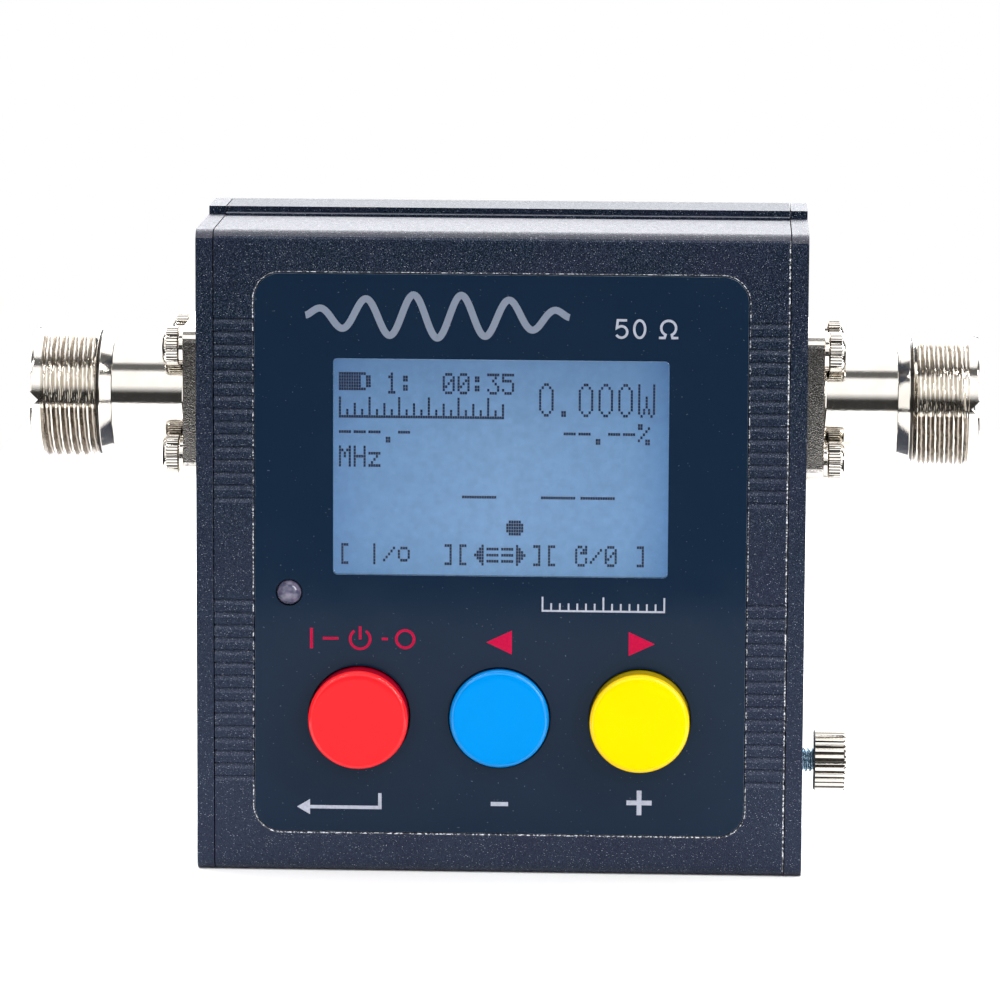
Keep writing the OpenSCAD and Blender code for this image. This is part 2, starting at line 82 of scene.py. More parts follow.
SHELL_LO, SHELL_HI = mm_box("front_shell")
REAR_HI = mm_box("rear_shell")[1]
PLATE_LO, PLATE_HI = mm_box("right_end_plate")
PANEL_LO, PANEL_HI = mm_box("front_panel")
WINDOW_LO, WINDOW_HI = mm_box("display_window")
GLASS_LO, GLASS_HI = mm_box("lcd_glass")
SOCKET_LO, SOCKET_HI = mm_box("right_connector_body")
KNOB_LO, KNOB_HI = mm_box("ground_screw_knob")
LED_LO, LED_HI = mm_box("status_led")

FRONT_Y = SHELL_LO.y
BACK_Y = REAR_HI.y
FRONT_H = SHELL_HI.z
REAR_H = REAR_HI.z
CASE_X = PLATE_HI.x
PLATE_T = PLATE_HI.x - PLATE_LO.x
SHELL_X = SHELL_HI.x
SOCKET_Z = (SOCKET_LO.z + SOCKET_HI.z) / 2
PANEL_Z = (PANEL_LO.z + PANEL_HI.z) / 2
PANEL_SIZE = (PANEL_HI.x - PANEL_LO.x, PANEL_HI.z - PANEL_LO.z)
WINDOW_Z = (WINDOW_LO.z + WINDOW_HI.z) / 2
WINDOW_SIZE = (WINDOW_HI.x - WINDOW_LO.x + 0.06, WINDOW_HI.z - WINDOW_LO.z + 0.06)
KNOB_Z = (KNOB_LO.z + KNOB_HI.z) / 2
LED_X = (LED_LO.x + LED_HI.x) / 2
LED_Z = (LED_LO.z + LED_HI.z) / 2

BUTTONS = ("red", "blue", "yellow")
CAPS = {name: mm_box(f"{name}_button_cap") for name in BUTTONS}
CAP_R = (CAPS["red"][1].x - CAPS["red"][0].x) / 2
CAP_Z = (CAPS["red"][0].z + CAPS["red"][1].z) / 2
CAP_CENTRES = [((low.x + high.x) / 2, CAP_Z) for low, high in CAPS.values()]

WALL = 2.0
END_GAP = 0.12
SHELL_END = SHELL_X - END_GAP
END_EDGE = 0.16
RIM = 0.13
EDGE_R = 1.5
SEAM_Y = 1.9
SEAM_GAP = 0.1
STEP_Y = 3.55
LEDGE_H = FRONT_H + 0.3
RECESS_GAP = 0.12
RECESS_DEPTH = 0.9
OPENING_SIZE = (43, 32.5)
CHANNEL_R = 2.6
CHANNEL_HOLE_R = 1.27
CHANNEL_IN = 3.7
CHANNEL_END = 4.2
PANEL_R = 3.0
WINDOW_R = 0.5
CAP_HOLE_R = CAP_R + 0.17
CAP_EDGE_R = 0.60
CAP_SOCKET = 1.93
LED_HOLE_R = 1.54

RIB_PITCH = 1.48
RIB_COUNT = 15
RIB_DEPTH = 0.26
RIB_STARTS = (11.2, 43.8)

FLANGE_T = 2.02
FLANGE_SIDE = 17.4
FLANGE_HOLES = 12.7
WASHER_T = 0.52
BOLTS = [(y, SOCKET_Z + z) for y in (-FLANGE_HOLES / 2, FLANGE_HOLES / 2)
         for z in (-FLANGE_HOLES / 2, FLANGE_HOLES / 2)]
ENDS = {1: "right", -1: "left"}


# ---- mesh helpers ----


def link(name, mesh):
    piece = bpy.data.objects.new(name, mesh)
    bpy.context.scene.collection.objects.link(piece)
    return piece


def piece_from(name, verts, faces, material=None):
    """A mesh object from points in millimetres."""
    mesh = bpy.data.meshes.new(name)
    mesh.from_pydata([tuple(c * MM for c in v) for v in verts], [], faces)
    mesh.validate()
    edit_mesh(mesh, face_outwards)
    if material:
        mesh.materials.append(material)
    return link(name, mesh)


def edit_mesh(mesh, change):
    """Runs change on the mesh's bmesh."""
    work = bmesh.new()
    work.from_mesh(mesh)
    change(work)
    work.to_mesh(mesh)
    work.free()


def face_outwards(work):
    bmesh.ops.recalc_face_normals(work, faces=work.faces)


def smooth_by_angle(piece, degrees):
    """Shades smooth, with edges sharper than the angle kept crisp."""
    limit = math.radians(degrees)

    def change(work):
        for face in work.faces:
            face.smooth = True
        for edge in work.edges:
            edge.smooth = len(edge.link_faces) == 2 and edge.calc_face_angle(0.0) < limit

    edit_mesh(piece.data, change)


def dress_faces(piece, material, chosen):
    """Gives another material to the faces for which chosen(face) is true."""
    piece.data.materials.append(material)
    last = len(piece.data.materials) - 1
    for face in piece.data.polygons:
        if chosen(face):
            face.material_index = last


def apply_modifiers(piece):
    graph = bpy.context.evaluated_depsgraph_get()
    mesh = bpy.data.meshes.new_from_object(piece.evaluated_get(graph))
    piece.modifiers.clear()
    piece.data = mesh


def combine(piece, others, operation):
    """Cuts the others out of the piece, or adds them to it, and removes them."""
    for other in others:
        step = piece.modifiers.new("combine", "BOOLEAN")
        step.operation = operation
        step.solver = "EXACT"
        step.object = other
    apply_modifiers(piece)
    for other in others:
        bpy.data.objects.remove(other)


def carve(piece, cutters):
    combine(piece, cutters, "DIFFERENCE")


def soften(piece, width, segments=2):
    """Rounds the piece's sharp edges and shades it."""
    bevel = piece.modifiers.new("bevel", "BEVEL")
    bevel.width = width * MM
    bevel.segments = segments
    bevel.limit_method = "ANGLE"
    bevel.angle_limit = math.radians(35)
    bevel.use_clamp_overlap = True
    bevel.harden_normals = True
    apply_modifiers(piece)


def finish(piece, body, replaces=(), smooth=None):
    """Rides on the body and the CAD nodes that the piece stands for."""
    if smooth:
        smooth_by_angle(piece, smooth)
    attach(piece, body)
    if replaces:
        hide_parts(*replaces)


def arc(centre, radius, start, end, steps):
    """Points along an arc, angles in degrees."""
    points = []
    for i in range(steps + 1):
        a = math.radians(start + (end - start) * i / steps)
        points.append((centre[0] + radius * math.cos(a), centre[1] + radius * math.sin(a)))
    return points


def round_rect(width, height, radius, steps=8, centre=(0, 0)):
    """Outline of a rectangle with round corners, anticlockwise."""
    w, h = width / 2 - radius, height / 2 - radius
    points = []
    for i, (x, y) in enumerate(((w, h), (-w, h), (-w, -h), (w, -h))):
        points += arc((centre[0] + x, centre[1] + y), radius, 90 * i, 90 * i + 90, steps)
    return points


def circle(radius, steps=64, centre=(0, 0)):
    return arc(centre, radius, 0, 360 - 360 / steps, steps - 1)


def prism(name, outline, low, high, place, material=None, between=(), first=None):
    """Extrudes an outline, through extra rows in between; first is the outline at low, if it differs.
    place(a, b, t) gives the point in millimetres."""
    levels = [low, *between, high]
    rows = [first or outline] + [outline] * (len(levels) - 1)
    n, end = len(outline), len(outline) * (len(levels) - 1)
    verts = [place(a, b, t) for row, t in zip(rows, levels) for a, b in row]
    faces = [tuple(range(n)), tuple(range(end + n - 1, end - 1, -1))]
    for k in range(0, end, n):
        faces += [(k + i, k + (i + 1) % n, k + n + (i + 1) % n, k + n + i) for i in range(n)]
    return piece_from(name, verts, faces, material)


def on_front(a, b, t):
    """Outline in (x, z), extruded along Y."""
    return (a, t, b)


def on_end(a, b, t):
    """Outline in (y, z), extruded along X."""
    return (t, a, b)


def bores(radius, steps, centres, low, high, place=on_end):
    """Round cutters."""
    return [prism("bore", circle(radius, steps, centre), low, high, place) for centre in centres]


def turned(name, rows, segments, place, material=None, closed=True):
    """A turned solid. A row is (distance along the axis, radius), or a function of the angle giving both."""
    verts = []
    for row in rows:
        for k in range(segments):
            a = TAU * k / segments
            u, r = row(a) if callable(row) else row
            verts.append(place(u, r * math.cos(a), r * math.sin(a)))
    faces = []
    for j in range(len(rows) - 1):
        for k in range(segments):
            n = (k + 1) % segments
            faces.append((j * segments + k, j * segments + n, (j + 1) * segments + n, (j + 1) * segments + k))
    if closed:
        faces.append(tuple(range(segments)))
        faces.append(tuple((len(rows) - 1) * segments + k for k in range(segments - 1, -1, -1)))
    return piece_from(name, verts, faces, material)


def join(name, pieces):
    """One object from several."""
    work = bmesh.new()
    for piece in pieces:
        work.from_mesh(piece.data)
    mesh = bpy.data.meshes.new(name)
    work.to_mesh(mesh)
    work.free()
    for material in pieces[0].data.materials:
        mesh.materials.append(material)
    for piece in pieces:
        bpy.data.objects.remove(piece)
    return link(name, mesh)


# ---- materials ----

PAINT_DEEP = (0.0008, 0.0042, 0.0115)
PAINT_PALE = (0.021, 0.030, 0.052)


class Graph:
    """A node tree with a few shorthands."""

    def __init__(self, tree):
        self.tree = tree
        self.nodes = tree.nodes

    def wire(self, a, b):
        self.tree.links.new(a, b)

    def add(self, kind, output, inputs, **settings):
        """Adds a node, sets or wires its inputs, and gives its output."""
        node = self.nodes.new(kind)
        for key, value in settings.items():
            setattr(node, key, value)
        for key, value in inputs.items():
            if isinstance(value, bpy.types.NodeSocket):
                self.wire(value, node.inputs[key])
            else:
                node.inputs[key].default_value = value
        return node.outputs[output]

    def axes(self, vector):
        """A vector's three parts."""
        split = self.nodes.new("ShaderNodeSeparateXYZ")
        self.wire(vector, split.inputs["Vector"])
        return [split.outputs[axis] for axis in "XYZ"]

    def spread(self, value, low, high, out_low, out_high):
        """Maps a value's range onto another, clamped."""
        limits = {"From Min": low, "From Max": high, "To Min": out_low, "To Max": out_high}
        return self.add("ShaderNodeMapRange", "Result", {"Value": value, **limits})


class Shader(Graph):
    """A Principled material with a few procedural additions."""

    def __init__(self, name, color, roughness, metallic=0.0, **sockets):
        self.material = bpy.data.materials.new(name)
        self.material.use_nodes = True
        super().__init__(self.material.node_tree)
        self.main = self.nodes["Principled BSDF"]
        self.color = (*color, 1.0)
        self.main.inputs["Base Color"].default_value = self.color
        self.main.inputs["Roughness"].default_value = roughness
        self.main.inputs["Metallic"].default_value = metallic
        for key, value in sockets.items():
            self.main.inputs[key.replace("_", " ")].default_value = value
        self.normal = None

    def place(self):
        """Object coordinates in millimetres."""
        where = self.add("ShaderNodeTexCoord", "Object", {})
        return self.add("ShaderNodeMapping", "Vector", {"Vector": where, "Scale": [1 / MM] * 3})

    def noise(self, size, detail=2.0):
        """Noise whose blobs are about size millimetres across."""
        inputs = {"Vector": self.place(), "Scale": 1 / size, "Detail": detail}
        return self.add("ShaderNodeTexNoise", "Fac", inputs)

    def cells(self, size):
        """Distance from the edges of cells of about size millimetres."""
        inputs = {"Vector": self.place(), "Scale": 1 / size}
        return self.add("ShaderNodeTexVoronoi", "Distance", inputs, feature="DISTANCE_TO_EDGE")

    def ramp(self, fac, stops):
        """Maps a value to colours: stops are (position, grey or colour)."""
        node = self.nodes.new("ShaderNodeValToRGB")
        bar = node.color_ramp.elements
        while len(bar) < len(stops):
            bar.new(0.5)
        for element, (position, value) in zip(bar, stops):
            element.position = position
            tint = (value, value, value) if isinstance(value, (int, float)) else value
            element.color = (*tint, 1.0)
        self.wire(fac, node.inputs["Fac"])
        return node.outputs["Color"]

    def tint(self, fac, other, stops=None):
        """Mixes another colour into the base colour where fac is high."""
        base = self.main.inputs["Base Color"]
        before = base.links[0].from_socket if base.links else self.color
        factor = self.ramp(fac, stops) if stops else fac
        inputs = {"Factor": factor, "A": before, "B": (*other, 1.0)}
        self.wire(self.add("ShaderNodeMix", "Result", inputs, data_type="RGBA"), base)

    def multiply(self, a, b):
        inputs = {"Factor": 1.0, "A": a, "B": b}
        return self.add("ShaderNodeMix", "Result", inputs, data_type="RGBA", blend_type="MULTIPLY")

    def rough(self, fac, low, high):
        self.wire(self.spread(fac, 0.3, 0.7, low, high), self.main.inputs["Roughness"])

    def bump(self, height, strength, depth):
        """Adds relief of the given depth in millimetres."""
        inputs = {"Strength": strength, "Distance": depth * MM, "Height": height}
        if self.normal:
            inputs["Normal"] = self.normal
        self.normal = self.add("ShaderNodeBump", "Normal", inputs)
        self.wire(self.normal, self.main.inputs["Normal"])


def powder_coat(name="powder_coat", deep=PAINT_DEEP, pale=PAINT_PALE, rough=(0.24, 0.38), ior=1.25,
                sheen=(0.62, 0.80, 1.0)):
    """Dark blue-black paint, paler at the foot as a painted reflection of the floor, with a fine grain and
    sparse bright specks painted as glints.
    """
    paint = Shader(name, deep, 0.34, IOR=ior, Specular_Tint=(*sheen, 1.0))
    height = paint.axes(paint.place())[2]
    # Paler towards the foot: a painted reflection of the floor.
    paint.tint(paint.spread(height, 5, 62, 0.45, 0), (0.036, 0.040, 0.070))
    paint.tint(paint.noise(0.13, 0.0), pale, [(0.50, 0), (0.66, 1)])
    paint.tint(paint.noise(9, 2.0), (0.013, 0.012, 0.030), [(0.45, 0), (0.70, 0.4)])
    # Sparse bright specks: painted glints.
    paint.tint(paint.noise(0.11, 0.0), (0.30, 0.32, 0.37), [(0.75, 0), (0.81, 1)])
    paint.rough(paint.noise(0.4, 2.0), *rough)
    paint.bump(paint.noise(0.13, 0.0), 1.0, 0.08)
    return paint.material


def surface(name, color, roughness, tints=(), rough=None, bump=None, metallic=0.0, **sockets):
    """A material varied by noises. Each begins with size and detail. A tint goes on with its colour, the
    range in which it fades in and its share, rough with its range, and bump with its strength and depth."""
    made = Shader(name, color, roughness, metallic, **sockets)
    for size, detail, other, start, end, share in tints:
        made.tint(made.noise(size, detail), other, [(start, 0), (end, share)])
    if rough:
        size, detail, low, high = rough
        made.rough(made.noise(size, detail), low, high)
    if bump:
        size, detail, strength, depth = bump
        made.bump(made.noise(size, detail), strength, depth)
    return made.material


def gloss_plastic(name, color, sheen, ior=1.28):
    """Moulded button plastic; sheen tints its faint mirror image."""
    darker = tuple(c * 0.93 for c in color)
    return surface(name, color, 0.10, [(5, 2, darker, 0.35, 0.85, 0.55)], (0.8, 2, 0.08, 0.14),
                   (0.12, 1, 0.05, 0.004), IOR=ior, Specular_Tint=(*sheen, 1.0))


def simple(name, color, roughness, grain, depth, metallic=0.0, shade=0.7):
    """A material with colour variation and relief at the given grain."""
    tint = (grain * 6, 3, tuple(c * shade for c in color), 0.35, 0.75, 1)
    rough = (grain * 2, 2, roughness * 0.85, min(1.0, roughness * 1.15))
    return surface(name, color, roughness, [tint], rough, (grain, 2, 0.4, depth), metallic)


def ink(name, color, shine=0.35, ior=1.5):
    """Printed ink, slightly uneven."""
    darker = tuple(c * 0.8 for c in color)
    return surface(name, color, shine, [(0.35, 2, darker, 0.4, 0.7, 1)], bump=(0.2, 1, 0.1, 0.005), IOR=ior)


def circuit_board():
    board = Shader("circuit_board", (0.012, 0.10, 0.045), 0.35)
    board.tint(board.cells(1.1), (0.03, 0.22, 0.09), [(0.02, 1), (0.06, 0)])
    board.rough(board.noise(0.6, 2.0), 0.28, 0.42)
    board.bump(board.cells(1.1), 0.3, 0.03)
    return board.material


def display_face():
    """The lit display: blue, lighter in the middle and at the foot."""
    face = Shader("display_face", (0.03, 0.06, 0.10), 0.6)
    across, _, up = face.axes(face.add("ShaderNodeTexCoord", "Object", {}))
    half_w, half_h = WINDOW_SIZE[0] / 2 * MM, WINDOW_SIZE[1] / 2 * MM
    across = face.spread(across, -half_w, half_w, 0, 1)
    up = face.spread(up, WINDOW_Z * MM - half_h, WINDOW_Z * MM + half_h, 0, 1)
    glow = face.multiply(face.ramp(across, DISPLAY_ACROSS), face.ramp(up, DISPLAY_UP))
    glow = face.multiply(glow, face.ramp(face.noise(0.9, 4.0), [(0.3, 0.87), (0.7, 1.01)]))
    face.wire(glow, face.main.inputs["Emission Color"])
    face.main.inputs["Emission Strength"].default_value = 1.0
    face.bump(face.noise(2.0, 2.0), 0.1, 0.01)
    return face.material


DISPLAY_ACROSS = [(0.0, (0.108, 0.222, 0.425)), (0.12, (0.140, 0.272, 0.478)), (0.5, (0.176, 0.316, 0.530)),
                  (0.88, (0.152, 0.290, 0.500)), (1.0, (0.090, 0.208, 0.420))]
DISPLAY_UP = [(0.0, (0.92, 0.95, 0.95)), (0.25, (1.05, 1.04, 1.04)), (0.6, (0.95, 0.96, 0.96)),
              (1.0, (0.60, 0.66, 0.72))]

PAINT = powder_coat()
# A lighter copy of the paint for the grooves' upward slopes: a painted highlight where the light falls on
# them.
LIT_SLOPE_PAINT = powder_coat("powder_coat_slope_painted_light", (0.012, 0.018, 0.032), (0.060, 0.068, 0.098))
# Copies of the paint for the top faces that reflect more strongly and more whitely: a painted sheen that
# brightens them.
TOP_SHEEN_PAINT = powder_coat("powder_coat_top_painted_sheen", rough=(0.46, 0.58), ior=1.38, sheen=(0.90, 0.93, 1.0))
STEP_SHEEN_PAINT = powder_coat("powder_coat_step_painted_sheen", rough=(0.46, 0.58), ior=1.65, sheen=(0.96, 0.93, 1.0))
PANEL = surface(
    "panel_gloss", (0.0056, 0.0148, 0.0325), 0.10,
    [(9, 2, (0.0066, 0.0162, 0.0340), 0.4, 0.8, 1), (0.22, 0, (0.10, 0.12, 0.16), 0.845, 0.88, 0.6)],
    (3.5, 3, 0.07, 0.12), (6.0, 2, 0.04, 0.02), IOR=1.17,
)
# The sawn edge of the panel, painted lighter as a highlight where it catches the light.
PANEL_EDGE_HIGHLIGHT = surface("panel_edge_painted_highlight", (0.15, 0.19, 0.27), 0.35, [(1.2, 3, (0.035, 0.05, 0.08), 0.40, 0.62, 1)],
                     (0.3, 2, 0.30, 0.45), (0.15, 2, 0.2, 0.02))
# The paint's edge round the recess, with bright dots painted along it in places as its highlight.
EDGE_HIGHLIGHT_PAINT = surface("painted_edge_highlight", (0.018, 0.022, 0.035), 0.35, [(0.22, 1, (0.62, 0.64, 0.68), 0.50, 0.62, 1)],
                    (0.3, 2, 0.28, 0.42), (0.12, 0, 0.5, 0.03))
# Bright plating over a turned surface, with fine pitting.
NICKEL = surface("nickel", (0.71, 0.675, 0.62), 0.10, [(2.5, 3, (0.62, 0.57, 0.50), 0.35, 0.80, 0.6)],
                 (0.25, 3, 0.05, 0.13), (0.13, 2, 0.30, 0.016), 1.0)
# Plating over a coarse, stamped edge.
NICKEL_CAST = surface("nickel_cast", (0.50, 0.475, 0.45), 0.16,
                      [(0.3, 3, (0.20, 0.19, 0.175), 0.40, 0.65, 0.9)],
                      (0.3, 2, 0.12, 0.24), (0.12, 1, 0.6, 0.03), 1.0)
# Plating on the threads' flanks, painted darker as shade.
SHADED_FLANK_NICKEL = surface("nickel_flank_painted_shade", (0.36, 0.32, 0.275), 0.18,
                       [(0.5, 3, (0.22, 0.19, 0.16), 0.35, 0.70, 0.9)],
                       (0.3, 2, 0.12, 0.28), (0.13, 2, 0.4, 0.02), 1.0)
# Plating in the knurling's grooves and behind the thread, painted dark as shade.
SHADED_GROOVE_NICKEL = surface("nickel_groove_painted_shade", (0.060, 0.053, 0.047), 0.30,
                        [(0.4, 2, (0.03, 0.027, 0.024), 0.40, 0.70, 0.9)],
                        (0.3, 2, 0.25, 0.40), (0.15, 2, 0.4, 0.03), 0.8)
# Blue-passivated zinc on the ground screw's thread.
ZINC = surface("zinc_blue", (0.42, 0.56, 0.66), 0.22, [(0.8, 3, (0.24, 0.34, 0.42), 0.35, 0.75, 0.8)],
               (0.3, 2, 0.18, 0.30), (0.12, 2, 0.2, 0.012), 1.0)
CLEAR_PANE = surface("clear_pane", (0.97, 0.985, 1.0), 0.03, bump=(7.0, 2, 0.03, 0.02), IOR=1.45,
                     Transmission_Weight=1.0)
# Clear lilac resin, cloudy inside.
CLEAR_LENS = surface("clear_lens", (0.085, 0.085, 0.15), 0.06, [(0.9, 2, (0.19, 0.17, 0.25), 0.45, 0.65, 1)],
                     bump=(0.6, 2, 0.10, 0.02), IOR=1.55, Transmission_Weight=0.30)
# Each cap's colour, the tint of its sheen and the colour of its side, which is darker as painted shade.
CAP_LOOKS = {
    "red": ((0.86, 0.014, 0.020), (1.0, 0.45, 0.40), (0.36, 0.0, 0.014)),
    "blue": ((0.0, 0.215, 0.610), (0.1, 0.7, 1.0), (0.0, 0.055, 0.20)),
    "yellow": ((0.86, 0.565, 0.0005), (1.0, 0.9, 0.02), (0.42, 0.30, 0.0005)),
}
# A whiter tint for the caps' rims, part of their painted sheen.
RIM_PAINTED_SHEEN = (1.0, 0.95, 0.90)
PTFE = simple("ptfe", (0.86, 0.86, 0.83), 0.42, 0.3, 0.01, shade=0.94)
CONTACT = simple("contact_plating", (0.83, 0.72, 0.46), 0.20, 0.3, 0.01, metallic=1.0)
BLACK_STEEL = simple("black_steel", (0.035, 0.035, 0.038), 0.38, 0.3, 0.02, metallic=0.6)
STEEL = simple("steel", (0.60, 0.60, 0.58), 0.28, 0.3, 0.01, metallic=1.0, shade=0.85)
TIN = simple("tin_plate", (0.70, 0.71, 0.70), 0.30, 0.8, 0.03, metallic=1.0, shade=0.9)
BRASS = simple("brass", (0.74, 0.54, 0.22), 0.28, 0.3, 0.01, metallic=1.0, shade=0.85)
COPPER = simple("enamelled_copper", (0.50, 0.16, 0.06), 0.22, 0.3, 0.01, metallic=0.7)
FERRITE = simple("ferrite", (0.05, 0.05, 0.055), 0.65, 0.25, 0.03)
BLACK = simple("black_plastic", (0.018, 0.018, 0.020), 0.40, 0.25, 0.02)
WHITE = simple("white_plastic", (0.80, 0.80, 0.76), 0.40, 0.4, 0.01, shade=0.94)
FOAM = simple("foam", (0.05, 0.05, 0.05), 0.9, 0.25, 0.10, shade=0.5)
RED_WIRE = simple("red_wire", (0.60, 0.03, 0.03), 0.4, 0.3, 0.01)
BLACK_WIRE = simple("black_wire", (0.02, 0.02, 0.02), 0.4, 0.3, 0.01)
BOARD = circuit_board()
FOIL = surface("battery_foil", (0.58, 0.60, 0.62), 0.32, [(6, 3, (0.45, 0.47, 0.50), 0.4, 0.8, 1)],
               (1.5, 3, 0.25, 0.42), (3.0, 3, 0.4, 0.15), 1.0)

NODE_MATERIALS = {
    BLACK_STEEL: "left_end_plate_screws right_end_plate_screws",
    BLACK: "red_switch_plunger blue_switch_plunger yellow_switch_plunger red_switch_body blue_switch_body "
           "yellow_switch_body controller_chip board_link_connector",
    WHITE: "lcd_backlight battery_plug battery_socket",
    FOAM: "lcd_foam_pad battery_pad",
    BOARD: "main_board coupler_board",
    BRASS: "board_standoffs coupler_standoffs through_line",
    STEEL: "board_screws coupler_screws charging_socket",
    FERRITE: "power_inductor transformer_core",
    TIN: "rf_shield",
    COPPER: "transformer_winding",
    FOIL: "battery_pack",
    RED_WIRE: "battery_lead_red",
    BLACK_WIRE: "battery_lead_black",
}


def dress_cad_nodes():
    """Looks for the CAD pieces that stay as they are."""
    for material, nodes in NODE_MATERIALS.items():
        for node in nodes.split():
            mesh = frame["nodes"][node].data
            mesh.materials.clear()
            mesh.materials.append(material)


# ---- case ----


def rib_points(start):
    """A band of grooves on the front face as (y, z) points from low to high: gentle below, steep above."""
    points = []
    floor_y = FRONT_Y + RIB_DEPTH
    for i in range(RIB_COUNT):
        z = start + i * RIB_PITCH
        points += [(FRONT_Y, z - 0.62), (floor_y, z - 0.10), (floor_y, z - 0.02), (FRONT_Y, z + 0.10)]
    return points


def channels(y, height):
    """Centres of a shell's two screw channels in (y, z)."""
    return [(y, CHANNEL_END), (y, height - CHANNEL_END)]


FRONT_CHANNELS = channels(FRONT_Y + CHANNEL_IN, FRONT_H)
REAR_CHANNELS = channels(BACK_Y - CHANNEL_IN, REAR_H)


def channel_walls(centres):
    """Screw channels as round rods that fill the corner of the section."""
    outlines = [circle(CHANNEL_R, 32, centre) for centre in centres]
    return [prism("rod", outline, -SHELL_END, SHELL_END, on_end, PAINT) for outline in outlines]


def channel_bores(centres):
    return bores(CHANNEL_HOLE_R, 24, centres, -SHELL_X - 1, SHELL_X + 1)


def front_outline():
    """Section of the front shell in (y, z), open towards the back."""
    f, h, r = FRONT_Y, FRONT_H, EDGE_R
    outer = arc((f + r, r), r, 270, 180, 8)
    for start in RIB_STARTS:
        outer += rib_points(start)
    outer += arc((f + r, h - r), r, 180, 90, 8)
    inner = [(SEAM_Y, h), (SEAM_Y, h - WALL), (f + WALL, h - WALL)]
    inner += [(f + WALL, WALL), (SEAM_Y, WALL), (SEAM_Y, 0)]
    return outer + inner


def panel_recess(margin):
    """Outline of the panel's recess, wider by the margin on every side."""
    extra = RECESS_GAP + margin
    return round_rect(PANEL_SIZE[0] + 2 * extra, PANEL_SIZE[1] + 2 * extra, PANEL_R + extra, 10, (0, PANEL_Z))


def front_cutters():
    recess = panel_recess(0)
    floor_y = FRONT_Y + RECESS_DEPTH
    deep, out = floor_y - 0.5, FRONT_Y + WALL + 1
    cutters = [prism("recess", recess, FRONT_Y - 1, floor_y, on_front)]
    cutters.append(prism("rim", recess, FRONT_Y - RIM, FRONT_Y + RIM, on_front, first=panel_recess(2 * RIM)))
    opening = round_rect(*OPENING_SIZE, 0.4, 3, (0, WINDOW_Z))
    cutters.append(prism("opening", opening, deep, out, on_front))
    cutters += bores(CAP_HOLE_R + 0.1, 64, CAP_CENTRES, deep, out, on_front)
    cutters += bores(LED_HOLE_R, 32, [(LED_X, LED_Z)], deep, out, on_front)
    return cutters


def faces_up(face):
    """True for the flat tops of the case."""
    return face.normal.z > 0.75 and face.center.z / MM > FRONT_H - 0.5


def on_top_curve(face):
    """The top and most of the rounded edge in front of it."""
    return face.normal.z > 0.4 and face.center.z / MM > FRONT_H - EDGE_R


def front_shell():
    edges = (END_EDGE - SHELL_END, SHELL_END - END_EDGE)
    shell = prism("front_shell_detail", front_outline(), -SHELL_END, SHELL_END, on_end, PAINT, edges)
    combine(shell, channel_walls(FRONT_CHANNELS), "UNION")
    carve(shell, front_cutters() + channel_bores(FRONT_CHANNELS))
    soften(shell, 0.10)
    reach_x, reach_z = PANEL_SIZE[0] / 2 + RECESS_GAP + 0.3, PANEL_SIZE[1] / 2 + RECESS_GAP + 0.3

    def on_rim(face):
        x, y, z = (c / MM for c in face.center)
        inside = abs(x) < reach_x and abs(z - PANEL_Z) < reach_z
        return inside and y < FRONT_Y + RIM and abs(face.normal.y) < 0.95

    def on_end_edge(face):
        return face.center.x / MM > SHELL_END - END_EDGE and face.center.y / MM < FRONT_Y + 0.3

    def on_slope(face):
        in_groove = face.center.y / MM < FRONT_Y + RIB_DEPTH
        return in_groove and 0.3 < face.normal.z < 0.6 and abs(face.normal.x) < 0.1

    # The top and most of its rounded edge get the brighter copy of the paint, a painted sheen.
    dress_faces(shell, STEP_SHEEN_PAINT, on_top_curve)
    # The grooves' upward slopes get the lighter copy of the paint, a painted highlight.
    dress_faces(shell, LIT_SLOPE_PAINT, on_slope)
    # The recess's rim and the shell's front end edges get bright dots, a painted highlight.
    dress_faces(shell, EDGE_HIGHLIGHT_PAINT, lambda face: on_rim(face) or on_end_edge(face))
    finish(shell, "case", ["front_shell"])


def rear_outline():
    """Section of the rear shell in (y, z), open towards the front, with the ledge before its step."""
    b, h, r = BACK_Y, REAR_H, EDGE_R
    ledge_y = SEAM_Y + SEAM_GAP
    outer = [(ledge_y, 0)] + arc((b - r, r), r, 270, 360, 8) + arc((b - r, h - r), r, 0, 90, 8)
    top = [(STEP_Y, h), (STEP_Y, LEDGE_H), (ledge_y, LEDGE_H)]
    top += [(ledge_y, FRONT_H - WALL), (STEP_Y, FRONT_H - WALL)]
    inner = [(STEP_Y, h - WALL), (b - WALL, h - WALL), (b - WALL, WALL), (ledge_y, WALL)]
    return outer + top + inner


def rear_shell():
    shell = prism("rear_shell_detail", rear_outline(), -SHELL_END, SHELL_END, on_end, PAINT)
    combine(shell, channel_walls(REAR_CHANNELS), "UNION")
    carve(shell, channel_bores(REAR_CHANNELS))
    soften(shell, 0.10)
    # The flat tops get the brighter copy of the paint, a painted sheen.
    dress_faces(shell, TOP_SHEEN_PAINT, faces_up)
    finish(shell, "case", ["rear_shell"])


def end_plate_outline():
    f, b, r = FRONT_Y, BACK_Y, EDGE_R
    return (
        arc((f + r, r), r, 270, 180, 8)
        + arc((f + r, FRONT_H - r), r, 180, 90, 8)
        + [(STEP_Y, FRONT_H), (STEP_Y, REAR_H)]
        + arc((b - r, REAR_H - r), r, 90, 0, 8)
        + arc((b - r, r), r, 360, 270, 8)
    )


